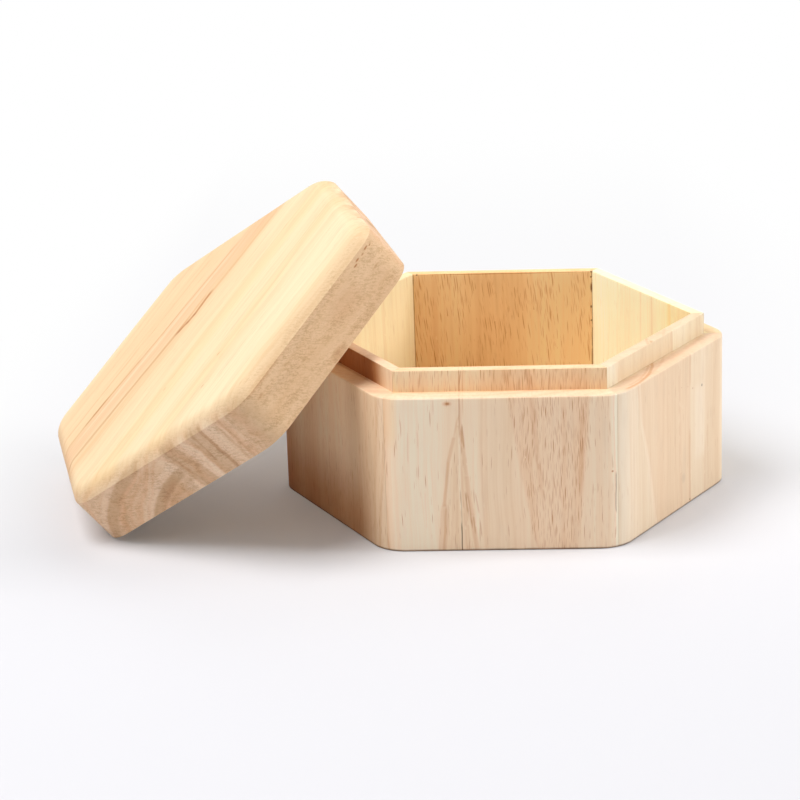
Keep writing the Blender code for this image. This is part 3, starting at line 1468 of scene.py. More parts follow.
FRONT_STREAKS = (
    Streak(-40.5, *UP_WALL, Tint.RUST, 0.55, 0.01, half=2.9, soft=3.5),
    Streak(-36.1, 0, 27, Tint.RUST, 0.5, -0.11),
    Streak(-37.4, 3, 40, Tint.RUST, 0.4, -0.04, broken=0.3),
    Streak(-35.0, 36, 62, Tint.HONEY, 0.5, half=1.6, soft=1.6, fade=8),
    Streak(-28.0, *UP_WALL, Tint.CREAM, 0.4, 0.04, half=6.6, soft=2.5),
    Streak(-29.0, 30, 38, Tint.BROWN, 0.22, half=0.05, broken=0.2),
    Streak(-26.0, 35, 40, Tint.BROWN, 0.22, half=0.05),
    Streak(-24.0, 8, 20, Tint.BROWN, 0.15, half=0.05, broken=0.2),
    Streak(-19.7, -3, 15, Tint.RUST, 0.5, 0.09, half=0.7, soft=0.8, fade=3),
    Streak(-19.2, -3, 15, Tint.RUST, 0.5, 0.09, half=0.15, soft=0.35, fade=3),
    Streak(-18.5, -3, 12, Tint.RUST, 0.35, 0.10, half=0.15, soft=0.5, fade=5),
    Streak(-18.1, 15, 30, Tint.RUST, 0.75, 0.11, half=0.2, soft=0.6, fade=1),
    Streak(-16.4, 30, 38, Tint.RUST, 0.6, 0.2, half=0.2, soft=0.7, fade=1),
    Streak(-14.8, 38, 45, Tint.RUST, 0.4, 0.24, half=0.1, soft=0.4),
    Streak(-7.6, -3, 12, Tint.RUST, 0.6, -0.13, half=0.3, soft=0.9, broken=0.2),
    Streak(-9.5, 12, 25, Tint.RUST, 0.55, -0.11, half=0.25, soft=0.9, fade=1, broken=0.2),
    Streak(-10.9, 25, 40, Tint.RUST, 0.5, -0.10, half=0.22, soft=0.7, fade=2, broken=0.15),
    Streak(-12.4, 40, 56, Tint.RUST, 0.4, -0.03, half=0.12, soft=0.5, fade=4, broken=0.1),
    Streak(-9.9, -3, 16, Tint.RUST, 0.35, -0.08, half=0.12, soft=0.4, fade=6, broken=0.3),
    Streak(-11.2, -3, 30, Tint.RUST, 0.35, -0.04, half=0.12, soft=0.4, fade=8, broken=0.3),
    Streak(-16.6, -3, 22, Tint.RUST, 0.22, 0.07, half=0.12, soft=0.4, fade=8, broken=0.3),
    Streak(-14.9, -3, 30, Tint.RUST, 0.2, 0.04, half=0.12, soft=0.4, fade=8, broken=0.4),
    Streak(-5.6, 4, 40, Tint.RUST, 0.18, -0.02, half=0.1, soft=0.5, fade=8, broken=0.4),
    Streak(-13.4, -3, 42, Tint.TAN, 0.4, half=5.0, taper=-0.11, soft=1.2, porous=0.25),
    Streak(-13.0, 14, 38, Tint.CREAM, 0.9, half=0.2),
    Streak(-12.75, -1, 20, Tint.CRACK, 0.3, half=0.04, soft=0.16, fade=6, broken=0.1),
    Streak(-12.85, -1, 9, Tint.CRACK, 0.75, half=0.08, soft=0.2, fade=3),
    Streak(-12.9, 40, 62, Tint.BROWN, 0.6, half=0.08, soft=0.25, fade=8, broken=0.1),
    Streak(-11.8, 46, 62, Tint.RUST, 0.6, half=0.08, soft=0.3, fade=8, broken=0.2),
    Streak(-11.5, 34.5, 42, Tint.BROWN, 0.6, -0.07, half=0.08, soft=0.3),
    Streak(-12.1, 36, 41, Tint.BROWN, 0.5, -0.05, half=0.08, soft=0.3),
    Streak(-10.8, 13, 19.5, Tint.BROWN, 0.6, -0.09, half=0.08, soft=0.3),
    Streak(-9.6, 9, 19, Tint.BROWN, 0.35, -0.1, half=0.08, soft=0.3, broken=0.1),
    Streak(-8.5, 6, 11.5, Tint.BROWN, 0.4, -0.1, half=0.08, soft=0.3),
    Streak(-6.5, 5, 10, Tint.BROWN, 0.45, -0.1, half=0.08, soft=0.3),
    Streak(-7.4, 13, 19, Tint.BROWN, 0.35, -0.12, half=0.08, soft=0.3),
    Streak(-1.5, *UP_WALL, Tint.TAN, 0.4, half=4.6, soft=1.8),
    Streak(-5.0, *UP_WALL, Tint.PINK, 0.25, half=0.4, soft=0.8, broken=0.2),
    Streak(17.6, *UP_WALL, Tint.PINK, 0.55, -0.043, half=5.1, taper=0.129, soft=1.4, porous=0.85),
    Streak(24.4, 20, 47, Tint.RUST, 0.5, 0.06, half=0.35, soft=0.9, fade=8, broken=0.3, porous=0.3),
    Streak(13.0, 18, 62, Tint.RUST, 0.35, -0.1, half=0.3, soft=0.9, fade=8, broken=0.35),
    Streak(19.0, -3, 50, Tint.RUST, 0.2, 0.02, half=0.3, soft=0.9, fade=8, broken=0.4),
    Streak(31.0, *UP_WALL, Tint.TAN, 0.25, half=3.5, soft=1.2, porous=0.15),
    Streak(35.9, 12, 25, Tint.CRACK, 0.5, half=0.08, soft=0.2, broken=0.1),
    Streak(35.6, *UP_WALL, Tint.RUST, 0.35, half=0.08, soft=0.3, broken=0.2),
    Streak(40.0, *UP_WALL, Tint.CREAM, 0.8, half=3.6, soft=3.0),
)

FRONT_RIGHT_STREAKS = (
    Streak(-31.0, *UP_WALL, Tint.CREAM, 0.7, half=4.5, soft=1.2),
    Streak(-1.5, *UP_WALL, Tint.PINK, 0.5, -0.12, half=11.0, taper=0.12, soft=1.5),
    Streak(-13.2, -2, 20, Tint.CREAM, 1.0, -0.24, half=0.5, soft=0.7, fade=3),
    Streak(-18.2, 20, 36, Tint.CREAM, 1.0, -0.3, half=0.45, soft=0.7, fade=2),
    Streak(-23.2, 36, 52, Tint.CREAM, 0.9, -0.1, half=0.35, soft=0.6, fade=2),
    Streak(10.1, -3, 25, Tint.RUST, 0.45, half=0.35, soft=0.6, fade=5, broken=0.2),
    Streak(10.1, 41, 62, Tint.RUST, 0.35, half=0.3, soft=0.6, fade=4, broken=0.15),
    Streak(4.0, -3, 50, Tint.RUST, 0.25, -0.03, half=0.3, soft=1.0, broken=0.4),
    Streak(17.2, 14, 39, Tint.CREAM, 0.7, half=2.6, soft=1.5, fade=5),
    Streak(20.6, -3, 18, Tint.RUST, 0.3, 0.03, half=0.2, soft=0.6, fade=5, broken=0.35),
    Streak(23.4, 2, 28, Tint.RUST, 0.25, -0.02, half=0.2, soft=0.6, fade=5, broken=0.35),
    Streak(26.5, *UP_WALL, Tint.TAN, 0.5, half=4.6, soft=1.6),
)

BACK_STREAKS = (
    Streak(-21.0, *UP_WALL, Tint.CREAM, 0.35, half=8.5, soft=3.0),
    Streak(29.0, *UP_WALL, Tint.CREAM, 0.6, half=3.0, soft=5.0, layer=Layer.INSIDE),
    Streak(24.0, *UP_WALL, Tint.RUST, 0.35, half=0.4, soft=1.2, broken=0.2),
    Streak(8.5, *UP_WALL, Tint.RUST, 0.3, half=0.3, soft=1.2, broken=0.2),
    Streak(3.0, *UP_WALL, Tint.TAN, 0.5, half=9.0, soft=3.0),
    Streak(-31.2, 6, 59, Tint.CRACK, 0.7, half=0.12, soft=0.25, broken=0.3, layer=Layer.INSIDE),
    Streak(31.2, 6, 59, Tint.CRACK, 0.4, half=0.08, soft=0.2, broken=0.2, layer=Layer.INSIDE),
)

BACK_RIGHT_STREAKS = (
    Streak(-34.0, *UP_WALL, Tint.HONEY, 1.0, half=12.0, soft=18.0),
    Streak(-35.0, *UP_WALL, Tint.TAN, 0.8, half=7.0, soft=9.0),
    Streak(23.0, *UP_WALL, Tint.CREAM, 0.6, half=6.5, soft=2.0),
    Streak(0.0, *UP_WALL, Tint.RUST, 0.2, half=0.25, soft=0.5),
    Streak(-7.0, *UP_WALL, Tint.RUST, 0.4, half=0.3, soft=0.6, broken=0.15),
    Streak(-18.0, *UP_WALL, Tint.HONEY, 1.0, half=0.6, soft=1.0),
)

BACK_LEFT_STREAKS = (
    Streak(10.0, *UP_WALL, Tint.TAN, 0.4, half=5.0, soft=3.0),
    Streak(-12.0, *UP_WALL, Tint.RUST, 0.3, half=0.3, soft=0.8, broken=0.2),
)

FRONT_LEFT_STREAKS_AND_SHADE = (
    # Painted shade: the rust band at the left end and the broad brown patch low on the board stand in for
    # the lid's shadow on this wall
    Streak(-38.0, *UP_WALL, Tint.RUST, 1.0, half=3.0, soft=14.0),
    Streak(-12.0, -20, 17, Tint.BROWN, 0.95, half=30.0, soft=18.0, fade=26),
    Streak(26.0, *UP_WALL, Tint.SMOKE, 1.0, half=5.0, soft=12.0),
    # Painted shadow: the two brown bands on the lip stand in for the shadow of the lid, which rests on this
    # lip
    Streak(-12.0, 48, 57.8, Tint.BROWN, 1.0, half=33.0, soft=8.0, fade=0.4, layer=Layer.LIP),
    Streak(-4.0, 48, 57.8, Tint.BROWN, 0.85, half=21.0, soft=10.0, fade=0.4, layer=Layer.LIP),
    Streak(33.5, 48, 57.8, Tint.CREAM, 1.0, half=3.0, soft=3.5, fade=0.4, layer=Layer.LIP),
    Streak(33.0, -3, 50, Tint.RUST, 0.35, 0.09, half=0.25, soft=0.5, broken=0.2),
    Streak(30.5, -3, 50, Tint.RUST, 0.25, 0.07, half=0.25, soft=0.5, broken=0.3),
    Streak(-14.0, -3, 52, Tint.PINK, 0.4, half=4.0, soft=3.0),
)

LID_STREAKS = (
    Streak(-33.0, *ALONG_LID, Tint.PINK, 0.6, half=19.0, soft=5.0),
    Streak(-19.4, *ALONG_LID, Tint.ROSE, 0.55, -0.055, half=3.0, soft=5.0),
    Streak(-15.5, -20, -8.5, Tint.BROWN, 0.95, 0.09, half=0.3, soft=1.1, fade=4),
    Streak(-14.5, -9.5, -4.5, Tint.BROWN, 0.9, -0.12, half=0.3, soft=1.1, fade=2),
    Streak(-15.1, -5.5, 0, Tint.BROWN, 0.85, -0.3, half=0.3, soft=1.0, fade=3),
    Streak(-17.6, -18, -2, Tint.RUST, 0.5, 0.02, half=0.2, soft=1.0, fade=5),
    Streak(-13.0, -62, -18, Tint.RUST, 0.5, -0.035, half=0.4, soft=1.2, fade=9, broken=0.1),
    Streak(-16.6, -6, 64, Tint.BROWN, 0.5, -0.066, half=0.35, soft=1.1, fade=8, broken=0.05),
    Streak(-24.0, -40, 48, Tint.CREAM, 1.0, -0.057, half=0.4, soft=0.7, fade=10),
    Streak(-7.5, -38, 62, Tint.PINK, 0.4, -0.04, half=3.5, soft=4.0, fade=24),
    Streak(-25.6, -44, 10, Tint.RUST, 0.6, -0.085, half=0.3, soft=0.7, fade=8, broken=0.15),
    Streak(-30.2, 10, 36, Tint.RUST, 0.8, -0.095, half=0.35, soft=0.7, fade=3),
    Streak(-32.3, 28, 40, Tint.BROWN, 0.6, -0.06, half=0.3, soft=0.6, fade=6),
    Streak(-32.8, 37, 56, Tint.RUST, 0.5, -0.02, half=0.3, soft=0.7, fade=5),
    Streak(-38.0, -40, 50, Tint.RUST, 0.3, -0.03, half=0.3, soft=0.9, fade=8, broken=0.2),
    Streak(26.5, *ALONG_LID, Tint.HONEY, 0.4, 0.04, half=1.6, soft=3.5),
    Streak(48.0, *ALONG_LID, Tint.CREAM, 0.5, half=7.0, soft=3.0),
    Streak(8.0, *ALONG_LID, Tint.HONEY, 0.5, 0.02, half=3.0, soft=4.0),
)

FRONT_SPOTS = (
    Spot(-16.5, 49.1, Tint.RUST, 0.9, 1.5, 0.55),
    Spot(-16.4, 49.1, Tint.BROWN, 0.9, 0.7, 0.6),
    Spot(34.9, 25.7, Tint.BROWN, 0.9, 0.4),
)

FRONT_RIGHT_SPOTS = (
    Spot(18.6, 38.2, Tint.CRACK, 0.8, 0.4, 1.3),
    Spot(12.0, 39.0, Tint.BROWN, 0.7, 0.35),
    Spot(8.5, 40.5, Tint.BROWN, 0.35, 0.3),
    Spot(4.0, 41.5, Tint.BROWN, 0.35, 0.3),
    Spot(5.5, 10.0, Tint.GREY, 0.6, 1.4, 1.3),
    Spot(9.9, 1.2, Tint.CRACK, 0.8, 0.35),
)

BACK_SPOTS = (
    Spot(-31.1, 58.0, Tint.CRACK, 0.9, 0.5, 1.4, layer=Layer.INSIDE),
    Spot(-31.0, 55.8, Tint.CRACK, 0.9, 0.35, layer=Layer.INSIDE),
    Spot(-31.1, 52.0, Tint.CRACK, 0.9, 0.4, 4.5, layer=Layer.INSIDE),
    Spot(-31.0, 45.0, Tint.CRACK, 0.8, 0.35, 1.5, layer=Layer.INSIDE),
    Spot(-31.0, 40.0, Tint.CRACK, 0.8, 0.35, layer=Layer.INSIDE),
    Spot(30.0, 57.7, Tint.CRACK, 0.8, 0.35, layer=Layer.INSIDE),
    Spot(0.0, 57.75, Tint.BROWN, 0.8, 30.0, 0.012, layer=Layer.INSIDE),
)

FRONT_RIGHT_END_ARCS = (
    EndArc(-25.0, -32.0, 41.7, -31.0, -2.0, Tint.RUST, 0.9, 0.2, 0.6),
    EndArc(-25.0, -32.0, 40.4, -28.0, 6.0, Tint.RUST, 0.5, 0.15, 0.6),
    EndArc(-20.0, -52.0, 61.0, -22.0, 12.0, Tint.RUST, 0.3, 0.15, 0.7),
)

LID_END_STREAKS = (
    Streak(15.5, -2, 17.5, Tint.RUST, 0.12, half=11.0, soft=5.0),
    Streak(29.0, -2, 9.0, Tint.SMOKE, 0.5, 0.1, half=4.5, soft=2.5, fade=4),
    Streak(35.6, *THROUGH_LID, Tint.CREAM, 0.9, -0.15, half=1.3, soft=1.4),
    Streak(40.2, *THROUGH_LID, Tint.SMOKE, 0.75, -0.2, half=2.3, soft=1.0),
    Streak(38.9, *THROUGH_LID, Tint.BROWN, 0.25, -0.2, half=0.2, soft=0.5, broken=0.2),
    Streak(43.8, *THROUGH_LID, Tint.CREAM, 1.0, -0.1, half=0.9, soft=0.9),
    Streak(47.9, *THROUGH_LID, Tint.SMOKE, 0.75, -0.07, half=2.0, soft=1.2),
    Streak(50.0, *THROUGH_LID, Tint.BROWN, 0.4, -0.06, half=0.3, soft=0.5, broken=0.2),
    Streak(52.6, *THROUGH_LID, Tint.CREAM, 0.6, -0.06, half=0.8, soft=0.9),
    Streak(46.4, 6, 19.0, Tint.BROWN, 0.3, -0.06, half=0.2, soft=0.4, broken=0.4),
    Streak(54.6, -2, 16.0, Tint.BROWN, 0.25, -0.03, half=0.2, soft=0.4, broken=0.35),
    Streak(56.2, *THROUGH_LID, Tint.BROWN, 0.25, -0.03, half=0.2, soft=0.4, broken=0.35),
    Streak(60.5, *THROUGH_LID, Tint.TAN, 0.6, half=1.6, soft=1.5),
)

LID_END_ARCS = (
    EndArc(32.7, -16.8, 38.9, -2.0, 18.0, Tint.CREAM, 1.0, 0.7, 0.9),
    EndArc(32.7, -16.8, 36.0, -3.0, 25.0, Tint.SMOKE, 0.9, 1.1, 1.6),
    EndArc(32.7, -16.8, 32.0, 6.0, 28.0, Tint.TAN, 0.6, 0.6, 1.4),
    EndArc(40.5, -21.3, 33.7, 12.0, 33.0, Tint.CREAM, 1.0, 0.9, 0.9),
    EndArc(40.5, -21.3, 30.6, 16.0, 35.0, Tint.SMOKE, 1.0, 1.0, 1.5),
    EndArc(40.5, -21.3, 27.0, 22.0, 36.0, Tint.TAN, 0.5, 0.5, 1.0),
)

LID_SPOTS = (
    Spot(30.0, 15.0, Tint.BROWN, 0.5, 0.4, 2.5),
    Spot(37.0, 30.0, Tint.BROWN, 0.5, 0.4, 2.5),
    Spot(9.0, 28.0, Tint.BROWN, 0.4, 0.4, 2.5),
)

LID_SIDE_SPOTS = (
    Spot(14.9, -24.6, Tint.BROWN, 1.0, 0.3, 3.5),
    Spot(15.6, -26.4, Tint.BROWN, 1.0, 0.35, 3.0),
    Spot(15.4, -29.2, Tint.BROWN, 0.7, 0.25, 3.0),
    Spot(15.9, -31.6, Tint.BROWN, 1.0, 0.3, 3.5),
    Spot(15.3, -33.6, Tint.BROWN, 0.9, 0.25, 2.5),
    Spot(1.6, 1.0, Tint.BROWN, 0.35, 1.8, 2.4),
    Spot(10.0, -12.0, Tint.BROWN, 0.22, 4.0, 2.2),
    Spot(17.2, 26.0, Tint.RUST, 0.6, 0.9, 12.0),
)


PLAIN_PORES = Pores(density=0.08, strength=0.35)


def wall_timber(side: WallSide, box: BoxSizes, colour: Colour, **look: object) -> Timber:
    """A wall's timber, whose face looks the way the wall does."""
    place = BoardPlace(ORIGIN, (0.0, 0.0, side.heading), box.apothem, box.apothem - box.lip_inner, True)
    return Timber(side.node, colour, place, **look)


def front_timbers(box: BoxSizes) -> tuple[Timber, ...]:
    """The looks of the three walls whose outer faces show.

    Args:
        box: sizes of the box.

    Returns:
        Their timber.
    """
    return (
        wall_timber(
            WallSide.FRONT,
            box,
            (255, 231, 202),
            seed=3.1,
            rings=Rings(-13.0, 70.0, 3.0, 0.30),
            pores=Pores(0.5, 12.0, 0.25, 0.07, strength=0.95),
            streaks=FRONT_STREAKS,
            spots=FRONT_SPOTS,
            end_colour=(0.94, 0.87, 0.84),
            inner_vessels=0.55,
            inner_colour=(1.0, 0.95, 0.84),
            broad=0.35,
        ),
        wall_timber(
            WallSide.FRONT_RIGHT,
            box,
            (238, 217, 189),
            seed=11.7,
            rings=Rings(10.0, 60.0, 4.0, 0.22),
            pores=Pores(0.6, 9.0, density=0.05, strength=0.4),
            streaks=FRONT_RIGHT_STREAKS,
            spots=FRONT_RIGHT_SPOTS,
            end_colour=(0.92, 0.84, 0.81),
            end_arcs=FRONT_RIGHT_END_ARCS,
            inner_vessels=0.12,
            inner_colour=(1.03, 1.09, 1.08),
            broad=0.3,
        ),
        wall_timber(
            WallSide.FRONT_LEFT,
            box,
            (255, 229, 199),
            seed=41.9,
            rings=Rings(-30.0, 60.0, 3.0, 0.3),
            pores=Pores(0.6, 10.0, density=0.3, strength=0.6),
            streaks=FRONT_LEFT_STREAKS_AND_SHADE,
            end_colour=(0.97, 0.92, 0.90),
            inner_colour=(0.98, 0.97, 0.95),
            broad=0.3,
            fibre=0.55,
        ),
    )


def back_timbers(box: BoxSizes) -> tuple[Timber, ...]:
    """The looks of the three walls whose inner faces show.

    Args:
        box: sizes of the box.

    Returns:
        Their timber.
    """
    return (
        wall_timber(
            WallSide.BACK_RIGHT,
            box,
            (240, 222, 188),
            seed=21.3,
            rings=Rings(5.0, 80.0, 4.0, 0.2),
            pores=PLAIN_PORES,
            streaks=BACK_RIGHT_STREAKS,
            inner_colour=(1.17, 1.33, 1.37),
            broad=0.3,
        ),
        wall_timber(
            WallSide.BACK,
            box,
            (254, 219, 165),
            seed=5.9,
            rings=Rings(0.0, 50.0, 5.0, 0.3),
            pores=Pores(0.72, 14.5, 0.25, 0.7, 0.6, 0.9, 0.1),
            streaks=BACK_STREAKS,
            spots=BACK_SPOTS,
            broad=0.35,
        ),
        wall_timber(
            WallSide.BACK_LEFT,
            box,
            (238, 214, 176),
            seed=31.3,
            rings=Rings(5.0, 70.0, 4.0, 0.25),
            pores=PLAIN_PORES,
            streaks=BACK_LEFT_STREAKS,
            inner_colour=(1.16, 1.3, 1.32),
            broad=0.3,
        ),
    )


def base_timber(box: BoxSizes) -> Timber:
    """The look of the base panel, whose face looks up."""
    place = BoardPlace(ORIGIN, ORIGIN, box.base_top, box.base_top, False)
    return Timber("base_panel", (228, 196, 150), place, seed=51.2, pores=PLAIN_PORES)


def lid_timber(lid: LidSizes) -> Timber:
    """The look of the lid.

    Args:
        lid: sizes and place of the lid.

    Returns:
        Its timber.
    """
    turn = tuple(lid.turn.to_euler())
    return Timber(
        "lid",
        (244, 220, 181),
        BoardPlace(tuple(lid.middle), turn, lid.thickness, lid.thickness, False),
        seed=61.4,
        rings=Rings(26.0, 26.0, 4.5, 0.38, 0.4, 1.0),
        pores=Pores(density=0.06, strength=0.3),
        streaks=LID_STREAKS,
        spots=LID_SPOTS,
        end_colour=(1.13, 1.17, 1.30),
        flank_colour=(0.85, 0.745, 0.70),
        side_spots=LID_SIDE_SPOTS,
        end_streaks=LID_END_STREAKS,
        end_arcs=LID_END_ARCS,
        rough=1.0,
        broad=0.3,
    )


def dress(piece: bpy.types.Object, body: str, node: str, slot: str) -> None:
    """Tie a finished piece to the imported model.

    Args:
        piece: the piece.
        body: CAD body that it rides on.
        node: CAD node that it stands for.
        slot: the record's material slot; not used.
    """
    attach(piece, body)
    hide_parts(node)
    LOG.info("%s: %d faces, rides on %s", piece.name, len(piece.data.polygons), body)


@dataclass
class Walls:
    """The six mitred walls, each with its shoulder, its lip and the rebate for the base.

    Attributes:
        sizes: sizes of the box.
        corner: radius of the box's upright corners.
        shoulder_easing: rounding of the shoulder's edge.
        lip_easing: rounding of the lip's two top edges.
        foot_easing: rounding of the foot.
        mitre_gap: width of the joint line between two walls.
        unevenness: deepest hollow that hand sanding left.
        easing_steps: steps round each eased edge.
        upright_steps: steps up the outer face and down the inner one.
        lip_steps: steps up the lip's outer face.
    """

    sizes: BoxSizes
    corner: float = 12 * MM
    shoulder_easing: float = 0.6 * MM
    lip_easing: float = 0.35 * MM
    foot_easing: float = 0.45 * MM
    mitre_gap: float = 0.035 * MM
    unevenness: float = 0.06 * MM
    easing_steps: int = 5
    upright_steps: int = 18
    lip_steps: int = 3

    def section(self) -> list[SectionPoint]:
        """Closed section of a wall, from the foot up the outer face and down the inner one.

        Returns:
            The section's points.
        """
        size, corner, steps = self.sizes, self.corner, self.easing_steps
        ease = self.foot_easing
        foot = rounded_arris(size.apothem - ease, ease, ease, corner, steps, -QUARTER, 0.0)
        ease = self.shoulder_easing
        top = size.shoulder - ease
        shoulder = rounded_arris(size.apothem - ease, top, ease, corner, steps, 0.0, QUARTER)
        ease = self.lip_easing
        top = size.lip_top - ease
        lip_edge = rounded_arris(size.lip_outer - ease, top, ease, 0.0, steps, 0.0, QUARTER)
        lip_back = rounded_arris(size.lip_inner + ease, top, ease, 0.0, steps, QUARTER, 2 * QUARTER)
        root = SectionPoint(size.lip_outer, 0.0, size.shoulder)
        rebate = [
            SectionPoint(size.lip_inner, 0.0, size.rebate_top),
            SectionPoint(size.rebate_apothem, 0.0, size.rebate_top),
            SectionPoint(size.rebate_apothem, 0.0, 0.0),
        ]
        return [
            *foot,
            *straight_run(foot[-1], shoulder[0], self.upright_steps),
            *shoulder,
            root,
            *straight_run(root, lip_edge[0], self.lip_steps),
            *lip_edge,
            *lip_back,
            *straight_run(lip_back[-1], rebate[0], self.upright_steps),
            *rebate,
        ]

    def build(self, sweep: HexagonSweep, finishes: dict[str, bpy.types.Material]) -> None:
        """Sweep each wall and let it stand for its CAD node.

        Args:
            sweep: the shape tree.
            finishes: the timber of each wall.
        """
        for number, side in enumerate(WallSide):
            settings = {
                "Sectors": 1,
                "Outline Apothem": self.sizes.apothem,
                "Mitre Gap": self.mitre_gap,
                "Fill Ends": True,
                "Unevenness": self.unevenness,
                "Seed": float(number),
                "Turn": (0.0, 0.0, side.heading),
                "Place": ORIGIN,
                "Material": finishes[side.node],
            }
            piece = sweep.make(side.node.replace("wall_", "board_"), self.section(), settings)
            dress(piece, "box", side.node, side.node)


@dataclass
class BasePanel:
    """The panel that closes the box from below, let into the walls' rebate.

    Attributes:
        sizes: sizes of the box.
        corner: radius of its corners.
        easing: rounding of its edges.
        easing_steps: steps round each edge.
        face_steps: steps from its middle to its edge.
        seed: which uneven pattern it has.
    """

    sizes: BoxSizes
    corner: float = 0.4 * MM
    easing: float = 0.25 * MM
    easing_steps: int = 2
    face_steps: int = 5
    seed: float = 9.0

    def section(self) -> list[SectionPoint]:
        """Section from the middle of the underside round to the middle of the top.

        Returns:
            The section's points.
        """
        size, ease, corner, steps = self.sizes, self.easing, self.corner, self.easing_steps
        outer = size.base_apothem - ease
        low = rounded_arris(outer, ease, ease, corner, steps, -QUARTER, 0.0)
        high = rounded_arris(outer, size.base_top - ease, ease, corner, steps, 0.0, QUARTER)
        under = SectionPoint(0.0, 0.0, 0.0)
        over = SectionPoint(0.0, 0.0, size.base_top)
        return [
            under,
            *straight_run(under, low[0], self.face_steps),
            *low,
            *high,
            *straight_run(high[-1], over, self.face_steps),
            over,
        ]

    def build(self, sweep: HexagonSweep, finish: bpy.types.Material) -> None:
        """Make the panel.

        Args:
            sweep: the shape tree.
            finish: its timber.
        """
        settings = {
            **HexagonSweep.WHOLE_BOARD,
            "Outline Apothem": self.sizes.base_apothem,
            "Unevenness": 0.0,
            "Seed": self.seed,
            "Turn": (0.0, 0.0, HALF_SECTOR),
            "Place": ORIGIN,
            "Material": finish,
        }
        piece = sweep.make("base_board", self.section(), settings)
        dress(piece, "box", "base_panel", "base_panel")


@dataclass
class Lid:
    """The thick lid: a board with a rounded upper edge and a groove for the lip.

    The cutter that rounded the edge reached less far in than its own radius, which leaves a line
    where the rounding starts.

    Attributes:
        sizes: sizes and place of the lid.
        corner: radius of the board's corners.
        crown_radius: radius of the cutter that rounded the upper edge.
        crown_reach: how far in from the side the cutter's middle was.
        groove_inner_corner: corner radius of the groove's inner wall.
        groove_outer_corner: corner radius of its outer wall.
        foot_easing: rounding of the lower edge.
        groove_easing: rounding of the groove's two edges.
        sanded_off: what sanding took off the sides.
        unevenness: deepest hollow that hand sanding left.
        seed: which uneven pattern it has.
        crown_steps: steps round the upper edge.
        easing_steps: steps round the lower edge.
        groove_steps: steps round each edge of the groove.
        side_steps: steps up the side, and from the middle of the underside to the groove.
        top_steps: steps from the upper edge to the middle of the top.
    """

    sizes: LidSizes
    corner: float = 12 * MM
    crown_radius: float = 7.0 * MM
    crown_reach: float = 6.5 * MM
    groove_inner_corner: float = 1.0 * MM
    groove_outer_corner: float = 2.2 * MM
    foot_easing: float = 0.3 * MM
    groove_easing: float = 0.15 * MM
    sanded_off: float = 0.12 * MM
    unevenness: float = 0.22 * MM
    seed: float = 4.0
    crown_steps: int = 14
    easing_steps: int = 5
    groove_steps: int = 2
    side_steps: int = 6
    top_steps: int = 10

    def groove_edge(self, apothem: float, corner: float, start: float) -> list[SectionPoint]:
        """One eased edge of the groove.

        Args:
            apothem: apothem of the arc's middle.
            corner: corner radius of the groove's wall on that side.
            start: angle at which the quarter turn starts.

        Returns:
            The edge's points.
        """
        ease = self.groove_easing
        edge = rounded_arris(apothem, ease, ease, 0.0, self.groove_steps, start, start + QUARTER)
        return [SectionPoint(point.apothem, corner, point.height) for point in edge]

    def section(self) -> list[SectionPoint]:
        """Section from the middle of the underside round to the middle of the top.

        Returns:
            The section's points.
        """
        size = self.sizes
        inner, outer = self.groove_inner_corner, self.groove_outer_corner
        apothem = size.apothem - self.sanded_off
        under = SectionPoint(0.0, 0.0, 0.0)
        plug_edge = self.groove_edge(size.groove_inner - self.groove_easing, inner, -QUARTER)
        rim_edge = self.groove_edge(size.groove_outer + self.groove_easing, outer, 2 * QUARTER)
        ease = self.foot_easing
        foot = rounded_arris(apothem - ease, ease, ease, self.corner, self.easing_steps, -QUARTER, 0.0)
        crown = rounded_arris(
            apothem - self.crown_reach,
            size.thickness - self.crown_radius,
            self.crown_radius,
            self.corner + self.crown_radius - self.crown_reach,
            self.crown_steps,
            math.acos(self.crown_reach / self.crown_radius),
            QUARTER,
        )
        over = SectionPoint(0.0, 0.0, size.thickness)
        return [
            under,
            *straight_run(under, plug_edge[0], self.side_steps),
            *plug_edge,
            SectionPoint(size.groove_inner, inner, size.groove_depth),
            SectionPoint(size.groove_outer, outer, size.groove_depth),
            *rim_edge,
            *foot,
            *straight_run(foot[-1], crown[0], self.side_steps),
            *crown,
            *straight_run(crown[-1], over, self.top_steps),
            over,
        ]

    def build(self, sweep: HexagonSweep, finish: bpy.types.Material) -> None:
        """Make the lid where it leans.

        Args:
            sweep: the shape tree.
            finish: its timber.
        """
        placed = self.sizes.turn @ Matrix.Rotation(HALF_SECTOR, 3, "Z")
        settings = {
            **HexagonSweep.WHOLE_BOARD,
            "Outline Apothem": self.sizes.apothem,
            "Unevenness": self.unevenness,
            "Seed": self.seed,
            "Turn": tuple(placed.to_euler()),
            "Place": tuple(self.sizes.middle),
            "Material": finish,
        }
        piece = sweep.make("lid_board", self.section(), settings)
        dress(piece, "lid", "lid", "lid")


@dataclass(frozen=True)
class Lamp:
    """A square soft light that shines at the box.

    Attributes:
        name: name of the light.
        place: where it hangs, in metres.
        size: side of the square in metres.
        watts: its power.
    """

    name: str
    place: tuple[float, float, float]
    size: float
    watts: float


